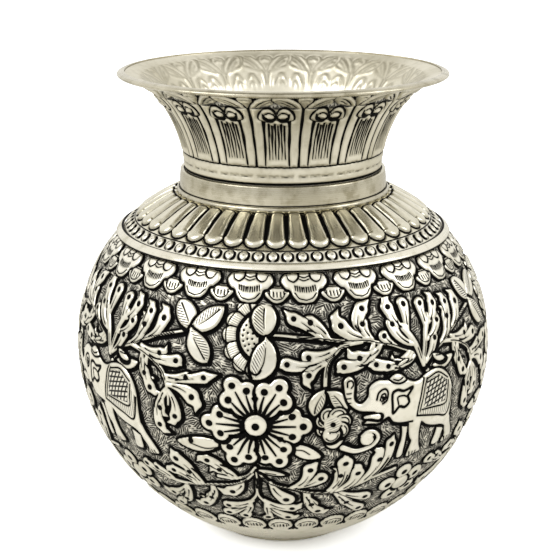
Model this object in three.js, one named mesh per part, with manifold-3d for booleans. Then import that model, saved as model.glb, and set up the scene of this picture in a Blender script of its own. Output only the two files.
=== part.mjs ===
// A silver kalash: a ritual water pot of chased sheet, with a round body, a short collar and a flared mouth.
// Millimetres, +Z up, origin at the centre of the base, front of the pot towards -Y.
import * as THREE from "three";
import { mergeVertices } from "three/addons/utils/BufferGeometryUtils.js";
import Module from "manifold-3d";

const wasm = await Module();
wasm.setup();

// Driving dimensions
const HEIGHT = 126.6;
const WALL = 1.2;
const SIDES = 48; // facets round a plain turned piece
const INNER_SIDES = 36; // facets round a hidden inner face
const SOLDER_GAP = 0.1;

// Body: two superellipse quarters that meet at the widest ring
const BODY_RADIUS = 56.5;
const WIDEST_Z = 51.5;
const UPPER_HEIGHT = 48;
const UPPER_POWER = 2.2;
const LOWER_HEIGHT = 55.5;
const LOWER_POWER = 1.85;

// Base disc under the flattened bottom of the bowl
const BASE_THICK = 1.2;
const BASE_RADIUS = 20.4;

// Frieze: raised figures on sunk ground, in four equal repeats between two plain borders
const REPEATS = 4;
const FRIEZE_TOP_Z = 82.4;
const FRIEZE_BOTTOM_Z = 17.3;
const FRIEZE_ROWS = 8;
const GROUND_DEPTH = 0.75;
const FIGURE_DEPTH = 0.12; // how far the tops of the figures stay under the body's line
const SCALLOPS = { count: 22, turn: -10, height: 6.8 }; // round lobes that hang from the upper border
const FRIEZE_COLUMNS = 2 * SCALLOPS.count;
const SNAP = 0.002; // grid, in millimetres and in degrees, that the figures' corners are rounded to

// Outline of the elephant that walks to the left, across and up from the middle of its body
const ELEPHANT = [
  [-18.8, 7.8], [-17.6, 3.2], [-14.8, 1], [-11.8, -2.9], [-6.5, -2], // trunk and chin
  [-2.2, -3.8], [-1.8, -14.6], [6.6, -14.6], [4.2, -6.6], // fore legs
  [11.4, -7.9], [11.1, -14.4], [20.1, -14.4], [17.1, -8.2], // hind legs
  [15.8, -2], [14.3, 4.5], [10.1, 7.7], [1.1, 6.2], // back
  [-4.1, 9.2], [-9.2, 8.3], [-12.1, 6.5], [-13.9, 3.1], [-15.9, 5.4], [-17.2, 10.2], // head and trunk
];
const ELEPHANT_PLACE = { turn: 34, z: 50 };

// Flowers of one repeat, with their places in degrees from the front and heights
const FLOWERS = [
  { petals: 6, radius: 12.4, notch: 7.6, turn: -6.8, z: 48.3 },
  { petals: 5, radius: 7.6, notch: 4.4, turn: 38.6, z: 25.4 },
  { petals: 3, radius: 7.6, notch: 2.4, turn: -24.8, z: 69 },
  { petals: 3, radius: 8.6, notch: 2.6, turn: 12.3, z: 50.4, lean: 180 },
];

// Leaves of one repeat: root, length, half width and lean from upright, anticlockwise
const LEAVES = [
  { turn: -5, z: 66.5, length: 12, halfWidth: 4.6, lean: 72 },
  { turn: -5, z: 66.5, length: 12, halfWidth: 4.6, lean: -72 },
  { turn: -7.5, z: 33, length: 14, halfWidth: 3.2, lean: 78 },
  { turn: -7.5, z: 33, length: 14, halfWidth: 3.2, lean: -78 },
];

// Plain band over the joint between bowl and shoulder
const SEAM_Z = 84.4;
const BAND_HALF_HEIGHT = 0.9;
const BAND_PROUD = 0.5;

// Row of beads above the band
const BEAD_COUNT = 72;
const BEAD_Z = 86.5;
const BEAD_RADIUS = 1.4;
const BEAD_PROUD = 0.6;

// Gadroons: long convex lobes that run from their round tips up to the collar
const GADROON_COUNT = 44;
const GADROON_TIP_Z = 88;
const GADROON_PROUD = 0.9;
const GADROON_COLUMNS = 3; // facets across one gadroon

// Collar and the wire at its foot
const LEDGE_Z = 94.05;
const LEDGE_RADIUS = 28.8;
const WIRE_HEIGHT = 1.65;
const WIRE_RADIUS = 28.5;
const COLLAR_TOP_Z = 100.6;
const COLLAR_FOOT_RADIUS = 27.6;
const COLLAR_TOP_RADIUS = 27.4;

// Neck: a straight stub that flares as a superellipse quarter to the lip
const NECK_RADIUS = 26.4;
const NECK_FOOT_Z = 97.2;
const FLARE_START_Z = 100.6;
const FLARE_END_Z = 125.1;
const LIP_RADIUS = 41.4;
const FLARE_POWER = 1.7;

// Half-round wire round the lip
const RIM_RADIUS = 43.5;
const RIM_WIRE_HEIGHT = 1.6;

const silver = (color, roughness) => new THREE.MeshStandardMaterial({ color, roughness, metalness: 1 });
const CHASED_SILVER = silver(0xb9b5a4, 0.38);
const POLISHED_SILVER = silver(0xd9d5c6, 0.22);

// Outer radius of the body at a height.
function bodyRadius(z) {
  const above = z > WIDEST_Z;
  const reach = Math.abs(z - WIDEST_Z) / (above ? UPPER_HEIGHT : LOWER_HEIGHT);
  const power = above ? UPPER_POWER : LOWER_POWER;
  return BODY_RADIUS * Math.max(0, 1 - reach ** power) ** (1 / power);
}

// Change of the body's radius for each millimetre of height.
function bodySlope(z) {
  return bodyRadius(z + 0.5) - bodyRadius(z - 0.5);
}

// Height at which the body has a radius, above the widest ring or below it.
function bodyHeight(radius, above) {
  const [tall, power] = above ? [UPPER_HEIGHT, UPPER_POWER] : [-LOWER_HEIGHT, LOWER_POWER];
  return WIDEST_Z + tall * (1 - (radius / BODY_RADIUS) ** power) ** (1 / power);
}

// Outer radius of the neck at a height.
function neckRadius(z) {
  const rise = THREE.MathUtils.clamp((z - FLARE_START_Z) / (FLARE_END_Z - FLARE_START_Z), 0, 1);
  const bend = 1 - (1 - rise ** FLARE_POWER) ** (1 / FLARE_POWER);
  return NECK_RADIUS + (LIP_RADIUS - NECK_RADIUS) * bend;
}

// Points of the body's outer line between two heights, spread evenly by the superellipse's own angle.
function bodyLine(fromZ, toZ, steps) {
  const share = (z) => Math.abs(z - WIDEST_Z) / (z > WIDEST_Z ? UPPER_HEIGHT : LOWER_HEIGHT);
  const power = (z) => (z > WIDEST_Z ? UPPER_POWER : LOWER_POWER);
  const turn = (z) => Math.sign(z - WIDEST_Z) * Math.asin(share(z) ** (power(z) / 2));
  return Array.from({ length: steps + 1 }, (_, i) => {
    const angle = THREE.MathUtils.lerp(turn(fromZ), turn(toZ), i / steps);
    const [tall, bend] = angle > 0 ? [UPPER_HEIGHT, UPPER_POWER] : [-LOWER_HEIGHT, LOWER_POWER];
    const z = WIDEST_Z + tall * Math.abs(Math.sin(angle)) ** (2 / bend);
    return new THREE.Vector2(bodyRadius(z), z);
  });
}

// The same line moved to its left by a distance: outwards where it runs down, inwards where it climbs.
function offsetLine(line, distance) {
  return line.map((point, i) => {
    const before = line[Math.max(0, i - 1)];
    const after = line[Math.min(line.length - 1, i + 1)];
    const along = after.clone().sub(before).normalize();
    return new THREE.Vector2(point.x - along.y * distance, point.y + along.x * distance);
  });
}

// A plain turned solid from a closed line of [radius, height] points.
function turned(line, sides = SIDES) {
  const points = line.map((p) => (Array.isArray(p) ? new THREE.Vector2(...p) : p));
  const closed = points[0].x === 0 ? points : [...points, points[0].clone()];
  return new THREE.LatheGeometry(closed, sides).rotateX(Math.PI / 2);
}

// A solid of revolution whose surface stands proud of its line by relief(turn, point index).
function turnedWithRelief(line, columns, relief) {
  const positions = [];
  const faces = [];
  const ring = (i, j) => 2 + i * columns + (j % columns);
  positions.push(0, 0, line[0].y, 0, 0, line.at(-1).y);
  line.forEach((point, i) => {
    const around = [line[Math.max(0, i - 1)], point, line[Math.min(line.length - 1, i + 1)]];
    const outward = offsetLine(around, -1)[1];
    for (let j = 0; j < columns; j++) {
      const proud = relief(j / columns, i);
      const radius = THREE.MathUtils.lerp(point.x, outward.x, proud);
      const angle = (j / columns) * 2 * Math.PI;
      const height = THREE.MathUtils.lerp(point.y, outward.y, proud);
      positions.push(radius * Math.cos(angle), radius * Math.sin(angle), height);
    }
  });
  for (let j = 0; j < columns; j++) {
    faces.push(0, ring(0, j + 1), ring(0, j), 1, ring(line.length - 1, j), ring(line.length - 1, j + 1));
    for (let i = 0; i < line.length - 1; i++) {
      faces.push(ring(i, j), ring(i, j + 1), ring(i + 1, j));
      faces.push(ring(i, j + 1), ring(i + 1, j + 1), ring(i + 1, j));
    }
  }
  const geometry = new THREE.BufferGeometry();
  geometry.setAttribute("position", new THREE.Float32BufferAttribute(positions, 3));
  geometry.setIndex(faces);
  return geometry;
}

// three.js geometry to a solid that can be joined and cut, and back.
function solid(geometry) {
  const bare = geometry.clone();
  bare.deleteAttribute("normal");
  bare.deleteAttribute("uv");
  const merged = mergeVertices(bare, 1e-4);
  const vertProperties = merged.attributes.position.array;
  const triVerts = new Uint32Array(merged.index.array);
  return new wasm.Manifold(new wasm.Mesh({ numProp: 3, vertProperties, triVerts }));
}

function geometryOf(made) {
  const mesh = made.getMesh();
  const geometry = new THREE.BufferGeometry();
  geometry.setAttribute("position", new THREE.BufferAttribute(mesh.vertProperties, 3));
  geometry.setIndex(new THREE.BufferAttribute(mesh.triVerts, 1));
  return geometry.toNonIndexed();
}

// Outline of a flower: equal round petals about its middle, the first straight up.
function flowerOutline({ petals, radius, notch }) {
  const steps = petals * 4;
  return Array.from({ length: steps }, (_, i) => {
    const way = (i / steps) * 2 * Math.PI;
    const fullness = Math.abs(Math.cos((way * petals) / 2)) ** 0.6;
    const reach = THREE.MathUtils.lerp(notch, radius, fullness);
    return [-reach * Math.sin(way), reach * Math.cos(way)];
  });
}

// Outline of a leaf that stands on its blunt root.
function leafOutline({ length, halfWidth }) {
  const side = [[halfWidth * 0.35, -0.5], [halfWidth, length * 0.55]];
  return [...side, [0, length], ...side.toReversed().map(([x, y]) => [-x, y])];
}

// Outline of a round lobe that hangs from a level line.
function lobeOutline(halfWidth, height) {
  const shoulder = [halfWidth * 0.8, -height * 0.7];
  return [[-halfWidth, 0], [-shoulder[0], shoulder[1]], [0, -height], shoulder, [halfWidth, 0]];
}

// An outline moved to its place and leaned, as [degrees from the front, height] on the body.
function placed(outline, { turn, z, lean = 0 }) {
  const [cos, sin] = [Math.cos(THREE.MathUtils.degToRad(lean)), Math.sin(THREE.MathUtils.degToRad(lean))];
  const steep = 1 / Math.hypot(1, bodySlope(z));
  return outline.map(([across, up]) => {
    const aside = THREE.MathUtils.radToDeg((across * cos - up * sin) / bodyRadius(z));
    return [turn + aside, z + (across * sin + up * cos) * steep];
  });
}

// Everything that stands raised in the frieze, as one flat drawing of the unrolled body.
function friezeDrawing() {
  const figures = [
    placed(ELEPHANT, ELEPHANT_PLACE),
    ...FLOWERS.map((flower) => placed(flowerOutline(flower), flower)),
    ...LEAVES.map((leaf) => placed(leafOutline(leaf), leaf)),
  ];
  const repeat = new wasm.CrossSection(figures, "NonZero");
  const span = 360 / REPEATS;
  const repeats = Array.from({ length: REPEATS + 2 }, (_, i) => repeat.translate([(i - 1) * span, 0]));
  const lobe = lobeOutline((Math.PI / SCALLOPS.count) * bodyRadius(FRIEZE_TOP_Z), SCALLOPS.height);
  const border = Array.from({ length: SCALLOPS.count + 2 }, (_, i) =>
    placed(lobe, { turn: SCALLOPS.turn + (i * 360) / SCALLOPS.count, z: FRIEZE_TOP_Z }),
  );
  return wasm.CrossSection.union([...repeats, new wasm.CrossSection(border, "NonZero")]);
}

// A point of the bowl's face by its turn in degrees, its height and its depth under the body's line.
function onBody([turn, z], depth) {
  const steep = 1 / Math.hypot(1, bodySlope(z));
  const radius = bodyRadius(z) - depth * steep;
  const angle = THREE.MathUtils.degToRad(turn);
  const height = z === BASE_THICK || z === SEAM_Z ? z : z + depth * bodySlope(z) * steep;
  return [radius * Math.sin(angle), -radius * Math.cos(angle), height];
}

// Triangles of a flat drawing, as lists of three corners.
function trianglesOf(section) {
  if (section.isEmpty()) return [];
  const polygons = section.toPolygons();
  const corners = polygons.flat().map((point) => point.map((value) => Math.round(value / SNAP) * SNAP));
  const triangles = wasm.triangulate(polygons).map((triple) => triple.map((i) => corners[i]));
  return triangles.filter((triangle) => new Set(triangle.map(cornerName)).size === 3);
}

// Name of a corner, which is the same for a corner one full turn further on.
function cornerName([turn, z]) {
  const fullTurn = 360 / SNAP;
  return `${THREE.MathUtils.euclideanModulo(Math.round(turn / SNAP), fullTurn)},${Math.round(z / SNAP)}`;
}

// Edges of a flat net of triangles that have no triangle on their other side.
function openEdges(triangles) {
  const open = new Map();
  for (const triangle of triangles) {
    triangle.forEach((from, k) => {
      const to = triangle[(k + 1) % 3];
      const [start, end] = [cornerName(from), cornerName(to)];
      if (!open.delete(`${end} ${start}`)) open.set(`${start} ${end}`, [from, to]);
    });
  }
  return [...open.values()];
}

// The bowl's outer face as a closed solid. The unrolled body is a grid of cells, and inside the frieze the
// drawing cuts each cell into what stays raised and what is sunk.
function embossedBody(heights, drawing) {
  const raised = [];
  const sunk = [];
  const width = 360 / FRIEZE_COLUMNS;
  for (let j = 1; j <= FRIEZE_COLUMNS; j++) {
    const [left, right] = [SCALLOPS.turn + j * width, SCALLOPS.turn + (j + 1) * width];
    for (let i = 0; i < heights.length - 1; i++) {
      const [low, high] = [heights[i], heights[i + 1]];
      const cell = new wasm.CrossSection([[[left, low], [right, low], [right, high], [left, high]]]);
      const middle = (low + high) / 2;
      const inFrieze = middle > FRIEZE_BOTTOM_Z && middle < FRIEZE_TOP_Z;
      raised.push(...trianglesOf(inFrieze ? cell.intersect(drawing) : cell));
      if (inFrieze) sunk.push(...trianglesOf(cell.subtract(drawing)));
    }
  }
  const top = (corner) => onBody(corner, FIGURE_DEPTH);
  const ground = (corner) => onBody(corner, GROUND_DEPTH);
  const points = [...raised.flat().map(top), ...sunk.flat().map(ground)];
  for (const [from, to] of openEdges(raised)) {
    const end = [BASE_THICK, SEAM_Z].find((z) => Math.abs(from[1] - z) < SNAP && Math.abs(to[1] - z) < SNAP);
    if (end) points.push(top(to), top(from), [0, 0, end]);
    else points.push(top(to), top(from), ground(from), top(to), ground(from), ground(to));
  }
  const geometry = new THREE.BufferGeometry();
  geometry.setAttribute("position", new THREE.Float32BufferAttribute(points.flat(), 3));
  return geometry;
}

// Bowl: one raised sheet with its frieze, from the flattened bottom to the joint under the plain band.
function bowl() {
  const below = bodyLine(BASE_THICK, FRIEZE_BOTTOM_Z, 3);
  const frieze = bodyLine(FRIEZE_BOTTOM_Z, FRIEZE_TOP_Z, FRIEZE_ROWS);
  const heights = [...below, ...frieze.slice(1)].map((point) => point.y);
  const outer = embossedBody([...heights, SEAM_Z], friezeDrawing());
  const inner = offsetLine(bodyLine(BASE_THICK, SEAM_Z, 7), WALL + GROUND_DEPTH);
  const floor = BASE_THICK + WALL;
  inner[0].set(bodyRadius(floor) - WALL, floor);
  inner.at(-1).y = SEAM_Z + 1;
  const hollow = turned([[0, floor], ...inner, [0, SEAM_Z + 1]], INNER_SIDES);
  return geometryOf(solid(outer).subtract(solid(hollow)));
}

// How far a gadroon stands proud, by the place across it and the share of its length from the tip.
function gadroonHeight(across, along) {
  const side = Math.abs(2 * across - 1);
  const crown = Math.sqrt(1 - side ** 2.4);
  const tip = Math.sqrt(Math.min(1, along * 5));
  return GADROON_PROUD * crown * tip;
}

// Shoulder: the dome that carries beads and gadroons, with a ledge for the wire and a stub inside the collar.
function shoulder() {
  const slope = bodyHeight(LEDGE_RADIUS, true) - GADROON_TIP_Z;
  const tipShares = [0, 0.06, 0.2, 0.94, 1];
  const lobes = tipShares.map((share) => GADROON_TIP_Z + slope * share);
  const line = [SEAM_Z, ...lobes].map((z) => new THREE.Vector2(bodyRadius(z), z));
  const relief = (turn, i) => {
    const share = tipShares[i - 1];
    if (share === undefined || share === 0 || share === 1) return 0;
    return gadroonHeight((turn * GADROON_COUNT) % 1, share);
  };
  const top = [
    [0, SEAM_Z + 1],
    [LEDGE_RADIUS - 0.5, SEAM_Z + 1],
    [LEDGE_RADIUS - 0.5, LEDGE_Z],
    [NECK_RADIUS, LEDGE_Z],
    [NECK_RADIUS, NECK_FOOT_Z],
    [0, NECK_FOOT_Z],
  ];
  const clear = LEDGE_RADIUS + 5;
  const seat = solid(turned([[0, LEDGE_Z], [clear, LEDGE_Z], [clear, HEIGHT], [0, HEIGHT]]));
  let made = solid(turnedWithRelief(line, GADROON_COUNT * GADROON_COLUMNS, relief)).subtract(seat);
  made = made.add(solid(turned(top))).add(beadRow());
  const inner = offsetLine(bodyLine(SEAM_Z, bodyHeight(LEDGE_RADIUS, true), 5), WALL);
  inner[0].y = SEAM_Z - 1;
  const bore = NECK_RADIUS - WALL;
  const tube = [[bore, LEDGE_Z - WALL], [bore, NECK_FOOT_Z + 1], [0, NECK_FOOT_Z + 1]];
  return geometryOf(made.subtract(solid(turned([[0, SEAM_Z - 1], ...inner, ...tube]))));
}

// The row of round beads, each a four-sided dome half sunk in the sheet.
function beadRow() {
  const radius = bodyRadius(BEAD_Z);
  const lean = Math.atan2(bodyRadius(BEAD_Z - 1) - bodyRadius(BEAD_Z + 1), 2);
  const dome = new THREE.CylinderGeometry(BEAD_RADIUS * 0.55, BEAD_RADIUS * 1.1, 2 * BEAD_PROUD, 4);
  dome.rotateZ(-Math.PI / 2);
  dome.rotateY(-lean);
  dome.translate(radius, 0, BEAD_Z);
  const bead = solid(dome);
  const step = 360 / BEAD_COUNT;
  const beads = Array.from({ length: BEAD_COUNT }, (_, i) => bead.rotate([0, 0, (i + 0.5) * step]));
  return wasm.Manifold.union(beads);
}

// Plain half-round band that covers the joint.
function seamBand() {
  const inner = [SEAM_Z - BAND_HALF_HEIGHT, SEAM_Z, SEAM_Z + BAND_HALF_HEIGHT].map(
    (z) => new THREE.Vector2(bodyRadius(z) + SOLDER_GAP, z),
  );
  const crown = [0.9, 0, -0.9].map((share) => {
    const z = SEAM_Z + share * BAND_HALF_HEIGHT;
    const proud = BAND_PROUD * Math.sqrt(1 - share ** 2) + 0.1;
    return new THREE.Vector2(bodyRadius(z) + SOLDER_GAP + proud * 1.2, z + proud * 0.7);
  });
  return turned([...crown.reverse(), ...inner.reverse()]);
}

// Half-round wire at the foot of the collar, seated on the shoulder's ledge.
function collarWire() {
  const middle = LEDGE_Z + WIRE_HEIGHT / 2;
  const round = [-1, -0.6, 0.6, 1].map((share) => [
    WIRE_RADIUS - WIRE_HEIGHT * 0.5 * (1 - Math.sqrt(1 - share ** 2)),
    middle + (share * WIRE_HEIGHT) / 2,
  ]);
  const bore = NECK_RADIUS + SOLDER_GAP;
  return turned([[bore, LEDGE_Z], ...round, [bore, LEDGE_Z + WIRE_HEIGHT]]);
}

// Collar band that sleeves the joint between the shoulder's stub and the neck.
function collarBand() {
  const foot = LEDGE_Z + WIRE_HEIGHT;
  const bore = NECK_RADIUS + SOLDER_GAP;
  const edge = 0.3;
  return turned([
    [bore, foot],
    [COLLAR_FOOT_RADIUS, foot],
    [COLLAR_TOP_RADIUS, COLLAR_TOP_Z - edge],
    [COLLAR_TOP_RADIUS - edge, COLLAR_TOP_Z],
    [bore, COLLAR_TOP_Z],
  ]);
}

// Neck: a tube that stands on the shoulder's stub and flares to the lip.
function neck() {
  const outer = [new THREE.Vector2(NECK_RADIUS, NECK_FOOT_Z)];
  const steps = 8;
  for (let i = 0; i <= steps; i++) {
    const z = FLARE_START_Z + (FLARE_END_Z - FLARE_START_Z) * Math.sin((i / steps) * (Math.PI / 2));
    outer.push(new THREE.Vector2(neckRadius(z), z));
  }
  const inner = offsetLine(outer, WALL).reverse();
  inner[0].set(LIP_RADIUS, FLARE_END_Z + WALL);
  inner.at(-1).set(NECK_RADIUS - WALL, NECK_FOOT_Z);
  return turned([...outer, ...inner]);
}

// Half-round wire soldered round the edge of the lip.
function rimWire() {
  const middle = HEIGHT - RIM_WIRE_HEIGHT / 2;
  const flat = LIP_RADIUS + SOLDER_GAP;
  const steps = 5;
  const arc = Array.from({ length: steps + 1 }, (_, i) => {
    const angle = -Math.PI / 2 + (i / steps) * Math.PI;
    return [flat + (RIM_RADIUS - flat) * Math.cos(angle), middle + (RIM_WIRE_HEIGHT / 2) * Math.sin(angle)];
  });
  return turned(arc);
}

// Disc under the bowl that the pot stands on.
function baseDisc() {
  const edge = 0.3;
  return turned([
    [0, 0],
    [BASE_RADIUS - edge, 0],
    [BASE_RADIUS, edge],
    [BASE_RADIUS, BASE_THICK],
    [0, BASE_THICK],
  ]);
}

const kalash = new THREE.Group();
const pieces = [
  ["base_disc", baseDisc, POLISHED_SILVER],
  ["bowl", bowl, CHASED_SILVER],
  ["seam_band", seamBand, POLISHED_SILVER],
  ["shoulder", shoulder, CHASED_SILVER],
  ["collar_wire", collarWire, POLISHED_SILVER],
  ["collar_band", collarBand, POLISHED_SILVER],
  ["neck", neck, CHASED_SILVER],
  ["rim_wire", rimWire, POLISHED_SILVER],
];
for (const [name, make, material] of pieces) {
  const mesh = new THREE.Mesh(make(), material);
  mesh.name = name;
  kalash.add(mesh);
}

export default kalash;
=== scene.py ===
"""A silver kalash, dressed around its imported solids.

The chaser's bench holds one repeat of the sheet: figures are raised on it and lines are sunk into it. Geometry
Nodes carry the repeat round the pot, and the finishes read what the bench noted at each point of the metal.
"""

import logging
import math
from collections.abc import Callable, Iterator, Sequence
from dataclasses import dataclass, field
from enum import Enum
from typing import ClassVar

import bpy
import numpy as np
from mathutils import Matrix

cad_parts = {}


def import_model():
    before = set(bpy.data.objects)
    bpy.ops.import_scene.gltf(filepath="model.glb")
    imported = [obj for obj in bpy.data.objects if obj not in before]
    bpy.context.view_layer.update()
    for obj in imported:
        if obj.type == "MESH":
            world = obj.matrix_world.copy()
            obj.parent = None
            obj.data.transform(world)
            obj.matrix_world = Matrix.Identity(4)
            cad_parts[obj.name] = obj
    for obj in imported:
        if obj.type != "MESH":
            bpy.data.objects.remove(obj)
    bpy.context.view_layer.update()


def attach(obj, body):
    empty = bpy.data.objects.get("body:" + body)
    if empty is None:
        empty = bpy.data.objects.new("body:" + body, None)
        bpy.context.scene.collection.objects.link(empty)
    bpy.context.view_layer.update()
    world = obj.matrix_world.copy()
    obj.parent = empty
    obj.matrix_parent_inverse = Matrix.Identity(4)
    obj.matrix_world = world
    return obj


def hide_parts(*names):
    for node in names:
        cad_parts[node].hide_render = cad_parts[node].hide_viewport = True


LOG = logging.getLogger("kalash")
MM = 0.001
FAR = 9.0  # mm, stands for "nowhere near" in the bench's distances
TINY = 1e-9  # keeps a divisor off 0
DEGREE = 0.9  # mm round the frieze in one degree, near enough to bend a figure
Point = tuple[float, float]  # degrees round the pot and millimetres along the sheet
Grid = np.ndarray
Socket = bpy.types.NodeSocket
Colour = tuple[float, ...]


class Note(Enum):
    """What the bench writes at each point of the metal, as attributes of the mesh."""

    INK = "ink"  # mm to the nearest blackened line, negative inside it; the chased finish also paints shade beside such a line, and on the neck's inner face the note stands for painted shade along the print
    GROUND = "ground"  # mm to the sunk ground, negative on it
    STROKES = "strokes"  # places across two sets of fine graver strokes, and how dark they are
    CHART = "chart"  # the sheet laid flat, in mm


@dataclass
class TurnedLine:
    """A turned outline, walked by its arc length.

    Attributes:
        radius: Radii of close points along the line, in mm.
        height: Their heights, in mm.
        start: Arc length at the first point.
    """

    radius: Grid
    height: Grid
    start: float = 0.0
    arc: Grid = field(init=False)

    def __post_init__(self) -> None:
        """Measures the arc length at each point."""
        steps = np.hypot(np.diff(self.radius), np.diff(self.height))
        self.arc = self.start + np.concatenate([[0.0], np.cumsum(steps)])

    def at(self, arc: Grid) -> tuple[Grid, Grid]:
        """Finds places on the line.

        Args:
            arc: Arc lengths, in mm.

        Returns:
            Their radii and heights.
        """
        return np.interp(arc, self.arc, self.radius), np.interp(arc, self.arc, self.height)

    def outward(self, arc: Grid) -> tuple[Grid, Grid]:
        """Finds the direction out of the pot.

        Args:
            arc: Arc lengths, in mm.

        Returns:
            Its radial and upward shares.
        """
        reach = 0.05
        before, after = self.at(arc - reach), self.at(arc + reach)
        across, up = after[0] - before[0], after[1] - before[1]
        length = np.maximum(np.hypot(across, up), TINY)
        sense = 1.0 if self.height[0] > self.height[-1] else -1.0
        return -up / length * sense, across / length * sense

    def offset(self, arc: Grid, out: Grid) -> tuple[Grid, Grid]:
        """Finds places beside the line.

        Args:
            arc: Arc lengths, in mm.
            out: How far out of the pot they lie, in mm.

        Returns:
            Their radii and heights.
        """
        radius, height = self.at(arc)
        across, up = self.outward(arc)
        return radius + across * out, height + up * out


@dataclass(frozen=True)
class PotLines:
    """The outlines of the pot, by the same rules and sizes as its solids, in mm."""

    body_radius: float = 56.5
    widest: float = 51.5
    upper_height: float = 48.0
    upper_power: float = 2.2
    lower_height: float = 55.5
    lower_power: float = 1.85
    floor: float = 1.2
    arc_origin: float = 84.6  # height at which arc lengths on the body are counted from
    neck_radius: float = 26.4
    flare_start: float = 100.6
    flare_end: float = 125.1
    lip_radius: float = 41.4
    flare_power: float = 1.7

    def body_radius_at(self, height: Grid) -> Grid:
        """Radius of the body at heights, from its two superellipse quarters.

        Args:
            height: Heights in mm.

        Returns:
            Radii in mm.
        """
        above = height > self.widest
        reach = np.abs(height - self.widest) / np.where(above, self.upper_height, self.lower_height)
        power = np.where(above, self.upper_power, self.lower_power)
        return self.body_radius * np.clip(1 - reach**power, 0, None) ** (1 / power)

    def body(self, top: float = 96.0) -> TurnedLine:
        """The body's line, from its shoulder down to the middle of its floor.

        Args:
            top: Height at which the line starts.

        Returns:
            The line, with arc length 0 at arc_origin.
        """
        height = np.linspace(top, self.floor, 6000)
        radius = self.body_radius_at(height)
        inward = np.linspace(radius[-1], 0, 60)[1:]
        line = TurnedLine(np.append(radius, inward), np.append(height, np.full(59, self.floor)))
        start = float(np.interp(-self.arc_origin, -height, line.arc[: len(height)]))
        return TurnedLine(line.radius, line.height, -start)

    def neck(self, foot: float = 97.2) -> TurnedLine:
        """The neck's outer line, from its foot inside the collar up to the lip.

        Args:
            foot: Height at which the line starts.

        Returns:
            The line, with arc length 0 where the flare starts.
        """
        height = np.append(np.linspace(foot, self.flare_start, 100)[:-1], self.flare_start
                           + (self.flare_end - self.flare_start) * np.sin(np.linspace(0, math.pi / 2, 3000)))
        rise = np.clip((height - self.flare_start) / (self.flare_end - self.flare_start), 0, 1)
        bend = 1 - (1 - rise**self.flare_power) ** (1 / self.flare_power)
        radius = self.neck_radius + (self.lip_radius - self.neck_radius) * bend
        return TurnedLine(radius, height, foot - self.flare_start)


@dataclass
class Stroke:
    """A stroke of the punch: a path with a width at each of its points.

    Attributes:
        path: Points in degrees and mm, one row each.
        reach: Half widths in mm at these points.
    """

    path: Grid
    reach: Grid

    def distance(self, across: Grid, along: Grid, scale: Callable[[Grid], Grid], middle: float) -> Grid:
        """Measures how far points lie outside the stroke, in mm, negative inside it.

        Args:
            across: Places of the points round the sheet, in mm from the middle.
            along: Their places along it, in mm.
            scale: Millimetres in a degree at an arc length.
            middle: The turn, in degrees, that across is counted from.

        Returns:
            The distances.
        """
        x = (self.path[:, 0] - middle) * scale(self.path[:, 1])
        y = self.path[:, 1]
        if len(x) == 1:
            return np.hypot(across - x[0], along - y[0]) - self.reach[0]
        found = np.full(across.shape, np.inf)
        for i in range(len(x) - 1):
            dx, dy = x[i + 1] - x[i], y[i + 1] - y[i]
            share = ((across - x[i]) * dx + (along - y[i]) * dy) / max(dx * dx + dy * dy, TINY)
            share = np.clip(share, 0, 1)
            width = self.reach[i] + (self.reach[i + 1] - self.reach[i]) * share
            gap = np.hypot(across - x[i] - share * dx, along - y[i] - share * dy) - width
            np.minimum(found, gap, out=found)
        return found


@dataclass
class Outline(Stroke):
    """A closed outline, filled."""

    def distance(self, across: Grid, along: Grid, scale: Callable[[Grid], Grid], middle: float) -> Grid:
        """Measures how far points lie outside the outline, as Stroke does."""
        rim = Stroke(np.vstack([self.path, self.path[:1]]), np.zeros(len(self.path) + 1))
        gap = rim.distance(across, along, scale, middle)
        x = (self.path[:, 0] - middle) * scale(self.path[:, 1])
        y = self.path[:, 1]
        inside = np.zeros(across.shape, bool)
        for i in range(len(x)):
            j = (i + 1) % len(x)
            straddles = (y[i] > along) != (y[j] > along)
            step = y[j] - y[i] if y[j] != y[i] else TINY
            inside ^= straddles & (across < x[i] + (along - y[i]) / step * (x[j] - x[i]))
        return np.where(inside, -gap, gap)


def smooth_path(points: Sequence[Point], closed: bool = False, steps: int = 5) -> Grid:
    """Draws a smooth curve through points, by the rule of Catmull and Rom.

    Args:
        points: The points to pass.
        closed: Whether the curve returns to its start.
        steps: Points made for each point given.

    Returns:
        Points on the curve, one row each.
    """
    given = np.array(points, float)
    if closed:
        ends = np.vstack([given[-1:], given, given[:2]])
    else:
        ends = np.vstack([2 * given[0] - given[1], given, 2 * given[-1] - given[-2]])
    made = []
    for a, b, c, d in zip(ends[:-3], ends[1:-2], ends[2:-1], ends[3:]):
        t = np.linspace(0, 1, steps, endpoint=False)[:, None]
        made.append(0.5 * (2 * b + (c - a) * t + (2 * a - 5 * b + 4 * c - d) * t**2 + (3 * b - a - 3 * c + d) * t**3))
    if not closed:
        made.append(given[-1:])
    return np.vstack(made)


def bent_path(root: Point, tip: Point, bend: float, steps: int = 9) -> Grid:
    """Draws a bow from root to tip.

    Args:
        root: Where it starts.
        tip: Where it ends.
        bend: How far its middle swings to the right of the way from root to tip, as a share of its length.
        steps: Points to make.

    Returns:
        Points on the bow, one row each.
    """
    a, b = np.array(root, float), np.array(tip, float)
    way = (b - a) * (DEGREE, 1)
    swing = np.array([-way[1] / DEGREE, way[0]]) * bend * 2
    t = np.linspace(0, 1, steps)[:, None]
    return (1 - t) ** 2 * a + 2 * t * (1 - t) * ((a + b) / 2 + swing) + t**2 * b


def lobe(root: Point, tip: Point, radius: float, bend: float) -> Stroke:
    """A lobe that swells from its root to a round end about tip."""
    path = bent_path(root, tip, bend)
    share = np.linspace(0, 1, len(path))
    start = 0.75
    return Stroke(path, start + (radius - start) * share**1.15)


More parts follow.
